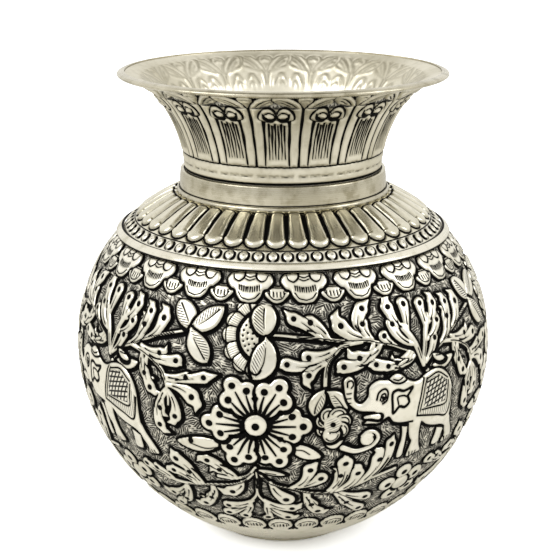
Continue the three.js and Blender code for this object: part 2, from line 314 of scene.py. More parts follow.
def leaf(root: Point, tip: Point, width: float, bend: float = 0.0) -> Stroke:
    """A leaf with two pointed ends and a half width."""
    path = bent_path(root, tip, bend, 12)
    return Stroke(path, width * np.sin(np.linspace(0.02, math.pi - 0.02, len(path))) ** 0.75)


def stem(points: Sequence[Point], start: float, end: float) -> Stroke:
    """A stem through points, whose half width goes from start to end."""
    path = smooth_path(points)
    return Stroke(path, np.linspace(start, end, len(path)))


def line(points: Sequence[Point], half: float, steps: int = 4) -> Stroke:
    """A line of even half width through points."""
    path = smooth_path(points, steps=steps)
    return Stroke(path, np.full(len(path), half))


def dot(place: Point, radius: float) -> Stroke:
    """A round dot."""
    return Stroke(np.array([place], float), np.array([radius]))


def tapered(points: Sequence[Point], *reach: float) -> Stroke:
    """A stroke straight from point to point, with a half width for each."""
    return Stroke(np.array(points, float), np.array(reach))


def cornered(points: Sequence[Point]) -> Outline:
    """A filled outline, straight from point to point."""
    return Outline(np.array(points, float), np.zeros(len(points)))


def filled(points: Sequence[Point], steps: int = 3) -> Outline:
    """A filled outline with softened corners."""
    return cornered(smooth_path(points, True, steps))


def mirrored(middle: float, half: Sequence[Point]) -> list[Point]:
    """A closed outline about a middle turn, from its right half."""
    return [(middle + x, y) for x, y in half] + [(middle - x, y) for x, y in reversed(half) if x]


def bowed(middle: float, half: Sequence[Point]) -> list[Point]:
    """A bow over a middle turn, from its right half, middle first."""
    return [(middle - x, y) for x, y in reversed(half[1:])] + [(middle + x, y) for x, y in half]


def eased(share: Grid) -> Grid:
    """Softens both ends of a slope from 0 to 1."""
    return share * share * (3 - 2 * share)


@dataclass(frozen=True)
class Relief:
    """How a figure stands off the ground.

    Attributes:
        rise: Its height in mm.
        edge: The width in mm over which its side rounds up to that.
        outline: Half width in mm of the blackened line round it, or 0.
    """

    rise: float
    edge: float
    outline: float


class Bench:
    """One repeat of the sheet on the chaser's bench."""

    SHADED_SIDE_WIDENING = 0.32  # painted shade: how much wider a blackened outline is on a figure's lower right, its shaded side, than in the mean
    SHADED_SIDE_WAY = (0.8, 0.6)  # the way to that shaded side: its shares downwards and to the right
    OUTSIDE = 0.45  # how far an outline's middle lies outside its figure, as a share of its half width
    GROOVE = 0.45  # mm over which the side of a sunk line slopes down
    MARGIN = 1.0  # mm round a sunk line within which it is felt
    LEFT_OVER = 0.2  # share of a figure's height that is left where it is sunk back to ground

    def __init__(self, turned: TurnedLine, arcs: Grid, period: float, columns: int, left: float, sunk: bool,
                 wander: float) -> None:
        """Lays the sheet out.

        Args:
            turned: The line that the sheet is wrapped round.
            arcs: Arc length of each row, in mm.
            period: Degrees in one repeat.
            columns: Steps across the repeat.
            left: Turn at its left edge, in degrees.
            sunk: Whether the sheet starts as sunk, hatched ground.
            wander: How far the hand strays from a true line, in mm.
        """
        self.turned = turned
        self.arcs = arcs
        self.period = period
        self.turns = left + np.linspace(0, period, columns + 1)
        shape = (len(arcs), columns + 1)
        self.rise = np.zeros(shape)
        self.ink = np.full(shape, FAR)
        self.ground = np.full(shape, -FAR if sunk else FAR)
        self.strokes = [np.zeros(shape) for _ in range(3)]
        # The hand strays in waves that fit the repeat a whole number of times, so that its edges meet.
        round_it = np.radians(self.turns - left)[None] * 360 / period
        down = arcs[:, None]
        self.stray = (
            wander * (np.sin(3 * round_it + down * 0.61) + np.sin(8 * round_it - down * 0.93 + 1.3)) / 1.6,
            wander * (np.sin(2 * round_it - down * 0.47 + 0.6) + np.sin(7 * round_it + down * 0.81)) / 1.6,
        )

    def scale(self, arc: Grid) -> Grid:
        """Millimetres in a degree round the pot at arc lengths."""
        return np.maximum(self.turned.at(arc)[0], 0.5) * math.pi / 180

    def patches(self, strokes: Sequence[Stroke], margin: float) -> Iterator[tuple[tuple, Grid, Grid, Grid]]:
        """Finds the parts of the sheet that strokes touch, on this repeat and its neighbours.

        Args:
            strokes: The strokes.
            margin: How far past them to go, in mm.

        Yields:
            The index of a part, the distance of its points to the nearest stroke, and their places in mm
            across and along, counted from the middle of the strokes.
        """
        low = np.min([(s.path - s.reach.max()).min(0) for s in strokes], axis=0) - margin
        high = np.max([(s.path + s.reach.max()).max(0) for s in strokes], axis=0) + margin
        rows = np.flatnonzero((self.arcs >= low[1]) & (self.arcs <= high[1]))
        if not len(rows):
            return
        middle = float(np.mean([s.path[:, 0].mean() for s in strokes]))
        half = max(high[0] - middle, middle - low[0]) + margin
        for lap in (-1, 0, 1):
            turns = self.turns - lap * self.period - middle
            columns = np.flatnonzero(np.abs(turns) <= half)
            if not len(columns):
                continue
            at = np.ix_(rows, columns)
            scale = self.scale(self.arcs[rows])[:, None]
            across = turns[columns][None] * scale + self.stray[0][at]
            along = self.arcs[rows][:, None] + self.stray[1][at]
            gap = np.min([s.distance(across, along, self.scale, middle) for s in strokes], axis=0)
            yield at, gap, across, along - float(np.mean([s.path[:, 1].mean() for s in strokes]))

    def raise_up(self, strokes: Sequence[Stroke], relief: Relief, hatch: "Hatch | None" = None) -> None:
        """Raises the union of strokes as one figure, over whatever it covers.

        Args:
            strokes: The strokes.
            relief: How the figure stands.
            hatch: Fine graver strokes on it.
        """
        for at, gap, across, along in self.patches(strokes, 1.5 * self.MARGIN):
            depth = np.clip(-gap / relief.edge, 0, 1)
            rise = relief.rise * np.sqrt(np.clip(1 - (1 - depth) ** 2, 0, 1))
            inside = gap < 0
            self.rise[at] = np.where(inside, rise, self.rise[at])
            self.ground[at] = np.maximum(self.ground[at], -gap)
            self.ink[at] = np.maximum(self.ink[at], -gap)
            if relief.outline and min(gap.shape) > 1:
                # Painted shade: the outline is widened on the figure's lower right, as on a shaded side.
                down, right = np.gradient(gap)
                shaded_side = (self.SHADED_SIDE_WAY[0] * down + self.SHADED_SIDE_WAY[1] * right) / np.maximum(np.hypot(down, right), 1e-6)
                half = relief.outline * (1 + self.SHADED_SIDE_WIDENING * shaded_side)
                self.ink[at] = np.minimum(self.ink[at], np.abs(gap - self.OUTSIDE * half) - half)
            drawn = hatch.drawn(across, along, gap) if hatch else (0.0, 0.0, 0.0)
            for held, new in zip(self.strokes, drawn):
                held[at] = np.where(inside, new, held[at])

    def sink(self, strokes: Sequence[Stroke]) -> None:
        """Sinks blackened lines or dots into what is there."""
        for at, gap, *_ in self.patches(strokes, self.MARGIN):
            self.ink[at] = np.minimum(self.ink[at], gap)

    def cut(self, points: Sequence[Point], half: float, steps: int = 4) -> None:
        """Sinks a line of even half width through points."""
        self.sink([line(points, half, steps)])

    def punch(self, place: Point, radius: float) -> None:
        """Sinks a dot."""
        self.sink([dot(place, radius)])

    def rule(self, area: Outline, pitch: float, dark: float, *ways: tuple[float, float]) -> None:
        """Rules sets of fine strokes over an area.

        Args:
            area: The area.
            pitch: Millimetres from stroke to stroke.
            dark: How dark they are, from 0 to 1.
            *ways: For each set, the shares of the way across it that lie across and along the sheet.
        """
        for at, gap, across, along in self.patches([area], 0.6 * self.MARGIN):
            drawn = [(across * right + along * down) / pitch for right, down in ways]
            for held, new in (*zip(self.strokes, drawn), (self.strokes[2], dark)):
                held[at] = np.where(gap < 0, new, held[at])

    def void(self, strokes: Sequence[Stroke], outline: float) -> None:
        """Sinks part of a figure back to hatched ground, with a line of a half width round it."""
        for at, gap, *_ in self.patches(strokes, self.MARGIN):
            inside = gap < 0
            self.rise[at] = np.where(inside, self.rise[at] * self.LEFT_OVER, self.rise[at])
            self.ground[at] = np.minimum(self.ground[at], gap)
            self.ink[at] = np.minimum(np.maximum(self.ink[at], -gap), np.abs(gap) - outline)

    def surface(self, depth: float) -> Grid:
        """The finished heights above the line, in mm.

        Args:
            depth: How deep the blackened lines lie below what is beside them.

        Returns:
            One height for each point of the grid.
        """
        return self.rise - depth * eased(np.clip(0.5 - self.ink / self.GROOVE, 0, 1))


@dataclass(frozen=True)
class Hatch:
    """Fine graver strokes on a figure, ruled along one direction.

    They leave EDGE mm bare along the figure's edge and reach their full darkness over FADE mm.

    Attributes:
        angle: Direction across the strokes, in degrees from the horizontal.
        pitch: Millimetres from stroke to stroke.
        dark: How dark they are, from 0 to 1.
        side: 1 or -1 for strokes on one half only, on that side of the direction in lean, or 0 for all over.
        lean: Direction of the line that parts the halves, in degrees.
    """

    angle: float
    pitch: float
    dark: float
    side: float = 0.0
    lean: float = 90.0
    EDGE: ClassVar[float] = 0.35
    FADE: ClassVar[float] = 0.4

    def drawn(self, across: Grid, along: Grid, gap: Grid) -> tuple[Grid, Grid, Grid]:
        """Rules the strokes.

        Args:
            across: Places round the sheet, in mm from the figure's middle.
            along: Places along it.
            gap: Distance outside the figure.

        Returns:
            The place across the strokes, in strokes, none for a second set, and how dark they are.
        """
        angle, lean = math.radians(self.angle), math.radians(self.lean)
        phase = (across * math.cos(angle) + along * math.sin(angle)) / self.pitch
        shade = self.dark * np.clip((-gap - self.EDGE) / self.FADE, 0, 1)
        if self.side:
            beside = across * math.sin(lean) - along * math.cos(lean)
            shade = shade * np.clip(beside * self.side / self.FADE, 0, 1)
        return phase, np.zeros_like(phase), shade


BOLD = Relief(rise=0.68, edge=0.95, outline=0.42)
FINE = Relief(rise=0.58, edge=0.8, outline=0.32)


@dataclass(frozen=True)
class Turn:
    """Places round a point of the sheet, by distance in mm and direction in degrees."""

    middle: Point
    degree: float = 0.983  # mm round the pot in one degree

    def at(self, radius: float, angle: float) -> Point:
        """The place at a distance and direction, 0 to the right and 90 downwards."""
        way = math.radians(angle)
        return (self.middle[0] + radius * math.cos(way) / self.degree, self.middle[1] + radius * math.sin(way))


@dataclass(frozen=True)
class Curl:
    """A lobe of scrollwork with a punched dot in its round end.

    Attributes:
        root: Where it springs from.
        eye: Where its dot sits.
        radius: Half width of its round end, in mm.
        bend: How far it bows.
        tip: Where its end is drawn out to, if it is pointed.

    FULL is how much fuller a lobe is than its radius, and one that bows by HOOKED or more ends in a hook.
    """

    root: Point
    eye: Point
    radius: float
    bend: float
    tip: Point | None = None
    FULL: ClassVar[float] = 1.2
    HOOKED: ClassVar[float] = 0.1

    def body(self) -> list[Stroke]:
        """The lobe's own shape, with a hooked tip where it bows much."""
        radius = self.radius * self.FULL
        made = [lobe(self.root, self.eye, radius, self.bend)]
        if self.tip:
            made.append(tapered([self.eye, self.tip], radius, 0.1))
        elif abs(self.bend) >= self.HOOKED:
            before, last = np.diff(made[0].path[-3:], axis=0) * (DEGREE, 1)
            curl = math.copysign(0.5, before[0] * last[1] - before[1] * last[0])
            ahead = math.atan2(last[1], last[0])
            hook = [Turn(self.eye, DEGREE).at(radius * reach, math.degrees(ahead + curl * turn))
                    for reach, turn in ((0.0, 0.0), (1.0, 0.5), (2.05, 1.5))]
            made.append(tapered(hook, radius * 0.95, radius * 0.62, 0.08))
        return made

    def marks(self) -> list[Stroke]:
        """Its dot, the line that runs towards it, and its two sides, which part it from its neighbours."""
        body = self.body()[0]
        way = np.gradient(body.path * (DEGREE, 1), axis=0)
        across = np.stack([-way[:, 1] / DEGREE, way[:, 0]], 1) / np.hypot(way[:, 0], way[:, 1])[:, None]
        aside = across * body.reach[:, None]
        made = [Stroke((body.path + side * aside)[3:], np.linspace(0.04, 0.24, 6)) for side in (-1, 1)]
        return [dot(self.eye, 0.44 + 0.16 * self.radius), Stroke(body.path[2:-2], np.linspace(0.2, 0.07, 5)), *made]


@dataclass(frozen=True)
class Spray:
    """A branch of scrollwork: stems and the lobes that they carry, raised as one figure.

    Attributes:
        shoots: The stems: the points that each passes, and its half widths at both ends, in mm.
        curls: The lobes.
    """

    shoots: tuple[tuple[tuple[Point, ...], float, float], ...]
    curls: tuple[Curl, ...]

    def chase(self, bench: Bench) -> None:
        """Raises the branch and sinks its dots and lines."""
        strokes = [stem(*shoot) for shoot in self.shoots]
        for curl in self.curls:
            strokes += curl.body()
        bench.raise_up(strokes, BOLD)
        for curl in self.curls:
            bench.sink(curl.marks())
        for points, *_ in self.shoots:
            if len(points) > 3:
                path = smooth_path(points)[3:-8]
                bench.sink([Stroke(path, np.full(len(path), 0.13))])


@dataclass(frozen=True)
class VeinedLeaf:
    """A leaf with a mid vein and one hatched half.

    Attributes:
        root: Where it springs from.
        tip: Its point.
        width: Half width in mm.
        bend: How far it bows.
        side: Which half is hatched, 1 or -1.
        stalk: Half width of its narrow foot.
    """

    root: Point
    tip: Point
    width: float
    bend: float
    side: float
    stalk: float = 0.3

    def chase(self, bench: Bench) -> None:
        """Raises the leaf and draws its vein."""
        path = bent_path(self.root, self.tip, self.bend, 14)
        share = np.linspace(0, 1, len(path))
        reach = self.stalk * (1 - share) + self.width * np.sin(math.pi * share**1.08) ** 1.15
        lean = math.degrees(math.atan2(self.tip[1] - self.root[1], self.tip[0] - self.root[0]))
        hatch = Hatch(lean + 42, 0.6, 0.95, self.side, lean)
        bench.raise_up([Stroke(path, np.maximum(reach, 0.1))], BOLD, hatch)
        vein = path[3:-2]
        bench.sink([Stroke(vein, np.linspace(0.1, 0.2, len(vein)))])


@dataclass(frozen=True)
class Rosette:
    """The open flower between two elephants.

    Attributes:
        middle: Its centre.
        petals: Number of petals, each with three round lobes.
        outer: Distance of the outer lobe from the centre, in mm.
        inner: Distance of the two side lobes.
        spread: Degrees between a petal's middle and its side lobes.
        lobe_radius: Half width of a lobe.
        boss: Radius of the boss in the middle.
    """

    middle: Point = (-6.8, 39.9)
    petals: int = 6
    outer: float = 11.6
    inner: float = 9.2
    spread: float = 16.5
    lobe_radius: float = 2.4
    boss: float = 3.0

    def chase(self, bench: Bench) -> None:
        """Raises the petals, then the boss, and sinks the dots and stalks."""
        turn = Turn(self.middle)
        for k in range(self.petals):
            way = 360 * k / self.petals
            eyes = [turn.at(self.outer, way), turn.at(self.inner, way - self.spread),
                    turn.at(self.inner, way + self.spread)]
            blade = tapered([turn.at(out, way) for out in (2.5, 6.0, 9.0)], 1.2, 3.0, 3.5)
            bench.raise_up([blade, *(dot(eye, self.lobe_radius) for eye in eyes)], Relief(0.66, 1.0, 0.44))
            for eye, offset, end in zip(eyes, (0.0, -self.spread * 0.9, self.spread * 0.9),
                                        (self.outer - 1.9, self.inner - 1.2, self.inner - 1.2)):
                stalk = [turn.at(3.4, way + offset), turn.at(end, way + offset)]
                bench.sink([dot(eye, 0.88), tapered(stalk, 0.44, 0.2)])
        for k in range(self.petals):
            way = 360 * (k + 0.5) / self.petals
            bench.sink([tapered([turn.at(3.0, way), turn.at(8.2, way)], 0.42, 0.3)])
        bench.raise_up([dot(self.middle, self.boss)], Relief(0.72, 1.5, 0.46))
        bench.punch(self.middle, 0.95)


@dataclass(frozen=True)
class HalfSunflower:
    """The half flower that the main stem ends in.

    Attributes:
        middle: Its centre.
        disc: Radius of its seed disc, in mm.
        reach: How far its petals reach.
        petals: Directions of the petals, in degrees.
    """

    middle: Point = (-5.0, 17.6)
    disc: float = 6.3
    reach: float = 10.6
    petals: tuple[float, ...] = (232, 258, 206, 180, 153, 128, 104)

    def chase(self, bench: Bench) -> None:
        """Raises the petals, then the dotted disc."""
        turn = Turn(self.middle, 0.95)
        for way in self.petals:
            blade = tapered([turn.at(5.0, way), turn.at(self.reach - 2.2, way)], 1.5, 2.15)
            bench.raise_up([blade], Relief(0.6, 0.9, 0.27), Hatch(way + 90, 0.55, 0.5))
            bench.cut([turn.at(self.reach - 1.0, way + a) for a in (-11, -6, 0, 6, 11)], 0.15)
        bench.raise_up([cornered([turn.at(self.disc, a) for a in range(96, 266, 10)])], Relief(0.6, 1.1, 0.5))
        for ring, count in ((1.7, 3), (2.9, 6), (4.1, 8), (5.2, 11)):
            for k in range(count):
                bench.punch(turn.at(ring, 100 + 160 * (k + 0.5) / count), 0.29)
        bench.cut([turn.at(self.disc + 0.3, a) for a in range(112, 256, 12)], 0.42)


@dataclass(frozen=True)
class Poppy:
    """The nodding flower under the trunk, with its sepals and tendril.

    Attributes:
        middle: Its centre.
        radius: Radius of its middle, in mm.
        petals: The direction of each ruffled petal, in degrees, and its radius.
    """

    middle: Point = (12.3, 40.0)
    radius: float = 2.3
    petals: tuple[tuple[float, float], ...] = ((150, 1.8), (205, 1.9), (250, 2.2), (300, 2.3), (350, 2.1), (40, 2.2),
                                               (95, 2.3))

    def chase(self, bench: Bench) -> None:
        """Raises petals, calyx, sepals and tendril."""
        turn = Turn(self.middle)
        VeinedLeaf((10.4, 30.6), (7.7, 37.8), 1.9, 0.1, 1.0).chase(bench)
        VeinedLeaf((10.8, 31.2), (15.6, 37.3), 1.9, -0.1, -1.0).chase(bench)
        cup = [(10.2, 43.4), (11.2, 46.2), (13.4, 47.0), (15.2, 45.4), (15.6, 42.4), (12.6, 43.6)]
        bench.raise_up([filled(cup, 5)], FINE)
        for way, size in self.petals:
            heart = turn.at(self.radius + 0.35, way)
            bench.raise_up([dot(heart, size)], Relief(0.6, 0.8, 0.34))
            fold = Turn(heart)
            bench.cut([fold.at(size - 0.7, way + a) for a in (-95, -60, -25, 10, 50)], 0.16)
        bench.raise_up([dot(self.middle, self.radius)], Relief(0.5, 1.6, 0.0), Hatch(70, 0.62, 0.5))
        bench.sink([dot(self.middle, 0.7), line([turn.at(self.radius, a) for a in (10, 60, 110)], 0.15)])
        curl = ((15.4, 46.9), (19.1, 48.3), (23.0, 47.6), (25.0, 45.7), (24.2, 43.7), (22.0, 43.1), (20.3, 44.2))
        bench.raise_up([dot((21.9, 45.1), 2.1), stem(curl, 0.95, 0.5)], BOLD)
        bench.cut([(16.6, 45.6), (18.4, 46.9), (20.4, 47.0)], 0.3)
        bench.cut([(20.4, 46.6), (22.6, 47.0), (23.8, 45.8), (23.4, 44.5)], 0.15)


@dataclass(frozen=True)
class RoundFlower:
    """A plain flower of round petals, each with a dot.

    Attributes:
        middle: Its centre.
        disc: Radius of its disc, in mm.
        petal: Radius of a petal.
        reach: Distance of the petals' middles from the centre.
        degree: Millimetres in a degree at its height.
    """

    middle: Point = (38.6, 64.4)
    disc: float = 2.6
    petal: float = 2.55
    reach: float = 4.7
    degree: float = 0.845

    def chase(self, bench: Bench) -> None:
        """Raises the petals, then the disc."""
        turn = Turn(self.middle, self.degree)
        for way in (262, 190, 106, 34, 330):
            bench.raise_up([dot(turn.at(self.reach, way), self.petal)], Relief(0.62, 1.0, 0.3))
            bench.punch(turn.at(self.reach - 0.1, way), 0.85)
        bench.raise_up([dot(self.middle, self.disc)], Relief(0.74, 1.4, 0.34))


@dataclass(frozen=True)
class Elephant:
    """An elephant that walks to the left with a blanket on its back."""

    trunk_and_back: tuple[Point, ...] = (
        (15.0, 28.9), (16.5, 27.9), (17.9, 29.2), (17.9, 32.8), (18.5, 34.5), (19.9, 35.1), (21.4, 33.7),
        (21.7, 31.6), (22.9, 30.4), (24.7, 29.8), (27.1, 30.2), (28.4, 29.4), (29.8, 29.0), (31.5, 29.5),
        (33.0, 30.8), (35.1, 31.9), (36.9, 31.9), (39.0, 30.8), (41.7, 30.2), (44.3, 30.4), (46.7, 31.6),
        (48.5, 33.7), (49.5, 36.3), (49.9, 40.2), (50.0, 44.3), (50.9, 47.0),
    )
    rump_and_belly: tuple[Point, ...] = (
        (49.6, 48.6), (48.0, 47.6), (46.4, 46.9), (42.9, 46.2), (40.2, 45.1), (38.1, 43.6),
    )
    chest_and_trunk: tuple[Point, ...] = (
        (34.6, 43.4), (30.0, 42.4), (28.7, 41.4), (27.4, 40.2), (24.9, 41.4), (22.0, 41.1), (20.4, 40.6),
        (22.6, 39.2), (23.5, 38.1), (22.0, 37.7), (19.0, 37.2), (16.7, 35.4), (15.5, 33.1), (14.9, 30.4),
    )
    far_legs: tuple[tuple[Point, ...], ...] = (
        ((31.8, 42.0), (34.4, 42.0), (34.0, 46.0), (34.3, 49.5), (34.2, 53.0), (32.0, 53.2), (32.4, 48.0)),
        ((45.6, 46.4), (48.4, 47.2), (48.6, 50.0), (48.4, 53.0), (45.3, 53.0), (45.4, 50.0)),
    )
    near_legs: tuple[tuple[Point, ...], ...] = (
        ((34.2, 42.0), (38.4, 42.0), (38.3, 44.2), (38.7, 47.5), (39.5, 50.7), (40.7, 53.0), (38.0, 53.8),
         (35.6, 53.9), (35.9, 51.0), (36.0, 49.1), (35.2, 48.0), (34.4, 45.8)),
        ((48.0, 44.5), (50.1, 44.5), (51.4, 47.2), (53.2, 50.0), (54.4, 53.0), (52.2, 53.8), (50.1, 53.6),
         (50.4, 51.4), (49.2, 49.4)),
    )
    ear: tuple[Point, ...] = (
        (28.0, 35.2), (28.3, 33.6), (29.8, 33.1), (31.5, 33.7), (34.2, 33.2), (33.2, 34.6), (32.7, 35.4),
        (33.3, 36.9), (31.8, 37.9), (30.1, 37.5), (28.5, 39.0), (28.1, 37.0),
    )
    skin: Relief = Relief(rise=0.7, edge=1.7, outline=0.38)

    def chase(self, bench: Bench) -> None:
        """Raises the animal, then draws its face, ear and blanket."""
        for leg in self.far_legs:
            bench.raise_up([filled(leg)], Relief(0.5, 1.1, 0.36))
        body = filled(self.trunk_and_back + self.rump_and_belly + self.chest_and_trunk)
        bench.raise_up([body, *(filled(leg) for leg in self.near_legs)], self.skin)
        bench.raise_up([stem(((20.6, 38.9), (22.4, 38.9), (24.4, 39.3)), 0.5, 0.95)], Relief(0.74, 0.8, 0.34))
        for k in range(3):
            bench.cut([(36.3 + k, 52.2), (36.6 + k, 53.6)], 0.15)
            bench.cut([(50.8 + k, 52.0), (51.2 + k, 53.4)], 0.15)
        bench.cut([(25.0, 41.4), (27.3, 40.0), (28.9, 41.6), (31.6, 42.4), (34.8, 42.6)], 0.32)
        bench.cut([(50.6, 41.3), (51.0, 44.0), (52.1, 47.5), (54.0, 51.2)], 0.28)
        self.face(bench)
        self.blanket(bench)

    def face(self, bench: Bench) -> None:
        """Draws the eye, the ear and the ornament on the head."""
        almond = [(23.6, 34.6), (24.3, 33.0), (26.0, 32.3), (26.9, 33.3), (26.4, 35.1), (25.2, 35.8)]
        bench.cut(almond, 0.25)
        bench.cut([(24.5, 34.9), (25.1, 33.7), (26.1, 33.5), (26.0, 34.6), (24.9, 35.2)], 0.2)
        bench.punch((25.4, 34.4), 0.42)
        bench.cut([*self.ear, self.ear[0]], 0.35, 3)
        bench.cut([(29.9, 36.9), (29.7, 35.0), (31.4, 34.9), (32.2, 35.3)], 0.22)
        bench.cut([(27.4, 30.3), (28.6, 31.2), (30.4, 31.6), (32.3, 31.2), (33.2, 30.7)], 0.26)
        bench.cut([(28.6, 30.4), (30.0, 30.8), (31.6, 30.3)], 0.18)
        bench.cut([(15.8, 30.6), (15.9, 29.4), (17.0, 29.2), (17.4, 30.2), (16.8, 30.9)], 0.2)
        for height in (32.2, 33.4, 34.6):
            bench.cut([(15.8, height), (16.9, height - 0.1)], 0.15)

    def blanket(self, bench: Bench) -> None:
        """Rules the blanket's borders, net and fringe."""
        net = cornered([(39.0, 32.6), (43.4, 31.8), (47.0, 34.3), (46.3, 39.6), (38.2, 39.6)])
        bench.rule(net, 1.25, 1.0, (0.94, 0.34), (0.22, 0.96))
        fringe = cornered([(38.0, 40.0), (46.4, 40.1), (47.4, 34.8), (49.0, 37.0), (48.2, 43.4), (37.0, 41.4)])
        bench.rule(fringe, 0.8, 0.6, (1.0, 0.0))
        left = [(38.2, 31.9), (37.4, 34.5), (36.7, 38.0), (36.1, 41.3)]
        bench.sink([line(left, 0.24), line([(x + 0.9, y + 0.1) for x, y in left[:3]] + [(37.1, 40.5)], 0.18)])
        bench.cut([(36.1, 41.3), (40.0, 42.0), (44.0, 43.0), (47.6, 43.9), (48.9, 40.5), (49.0, 37.5)], 0.24)
        bench.cut([(37.8, 40.0), (42.0, 40.2), (46.6, 40.4), (47.2, 37.5), (47.4, 34.5)], 0.2)
        bench.cut([(39.2, 32.2), (43.4, 31.3), (47.2, 33.7)], 0.2)


LEFT_BRANCH = Spray(
    shoots=(
        (((39.9, 30.6), (36.9, 25.9), (35.1, 24.1), (32.1, 22.9), (28.6, 21.5), (25.0, 20.6), (22.0, 19.8),
          (14.9, 19.1), (11.0, 18.5), (6.0, 17.9), (0.0, 17.4), (-4.0, 17.3)), 0.8, 0.5),
        (((20.5, 20.0), (14.9, 20.6), (11.9, 22.8), (8.6, 24.8), (4.0, 25.6)), 0.7, 0.6),
        (((14.9, 20.4), (11.9, 23.6), (10.7, 26.2), (10.4, 29.8), (10.4, 31.4)), 0.6, 0.7),
    ),
    curls=(
        Curl((11.9, 18.6), (7.2, 14.4), 1.6, 0.1), Curl((10.0, 18.4), (2.7, 13.4), 1.6, 0.06, (0.0, 10.9)),
        Curl((22.6, 19.4), (15.2, 15.7), 1.9, -0.1), Curl((22.0, 19.4), (21.9, 11.9), 1.7, -0.24, (25.3, 9.4)),
        Curl((23.6, 19.6), (21.3, 15.7), 1.5, -0.1), Curl((29.8, 21.8), (27.1, 19.3), 1.3, -0.06),
        Curl((13.1, 20.9), (6.25, 22.8), 1.6, -0.08), Curl((10.5, 23.6), (0.9, 24.4), 1.5, -0.1, (-1.8, 25.2)),
        Curl((10.6, 24.6), (6.4, 27.1), 1.5, 0.12),
        Curl((26.0, 21.0), (19.5, 23.7), 1.7, -0.16), Curl((23.8, 20.7), (15.3, 25.5), 1.6, -0.22, (13.2, 27.0)),
        Curl((34.5, 23.9), (23.8, 25.9), 1.5, -0.16, (21.3, 26.2)),
        Curl((35.1, 24.4), (27.2, 26.7), 1.3, -0.2, (26.6, 29.0)),
        Curl((36.0, 25.3), (29.8, 26.2), 1.1, -0.18),
    ),
)
FAN = Spray(
    shoots=((((38.4, 28.4), (37.4, 25.2), (35.8, 21.6), (33.2, 17.8)), 0.7, 1.2),
            (((38.6, 28.4), (39.4, 24.6), (40.8, 20.2), (42.6, 16.6)), 0.7, 1.1)),
    curls=(
        Curl((36.4, 22.8), (30.0, 16.8), 1.5, -0.16), Curl((34.6, 19.4), (29.8, 12.4), 1.6, -0.1),
        Curl((34.8, 19.4), (35.2, 12.4), 1.6, 0.0), Curl((41.0, 19.4), (41.1, 13.2), 1.5, 0.0),
        Curl((41.8, 18.6), (46.0, 14.0), 1.5, 0.12), Curl((40.2, 22.6), (45.6, 18.4), 1.4, 0.14),
        Curl((39.4, 27.8), (43.4, 22.6), 1.3, 0.06, (44.6, 20.6)),
    ),
)
RIGHT_BRANCH = Spray(
    shoots=(
        (((-50.1, 30.6), (-48.1, 27.0), (-45.3, 24.8), (-42.0, 23.5), (-39.6, 22.1), (-35.6, 20.5),
          (-31.5, 19.3), (-27.1, 18.1), (-24.8, 17.3)), 0.8, 0.5),
        (((-44.0, 24.0), (-38.0, 25.4), (-34.4, 27.0), (-31.5, 29.4), (-30.3, 33.0), (-30.1, 37.0)), 0.8, 0.55),
    ),
    curls=(
        Curl((-45.2, 24.8), (-39.8, 18.4), 1.6, 0.14), Curl((-42.6, 22.8), (-38.6, 14.8), 1.4, 0.1),
        Curl((-39.4, 22.0), (-33.8, 15.8), 1.7, 0.14),
        Curl((-39.6, 23.7), (-33.2, 24.4), 1.3, 0.1), Curl((-39.0, 24.4), (-28.1, 25.6), 1.6, 0.1, (-25.9, 26.7)),
        Curl((-39.0, 25.6), (-37.6, 30.2), 1.5, 0.1), Curl((-37.2, 25.8), (-35.6, 33.4), 1.5, 0.12),
        Curl((-31.5, 29.8), (-24.8, 29.3), 1.4, 0.06), Curl((-30.4, 30.6), (-20.1, 28.7), 1.5, 0.02, (-16.0, 27.6)),
        Curl((-30.4, 31.9), (-23.3, 33.8), 1.9, -0.1),
        Curl((-30.6, 33.0), (-32.4, 38.3), 1.4, 0.12), Curl((-30.2, 33.6), (-33.0, 43.0), 1.5, 0.16),
        Curl((-30.0, 33.4), (-28.0, 39.8), 1.6, -0.12),
    ),
)
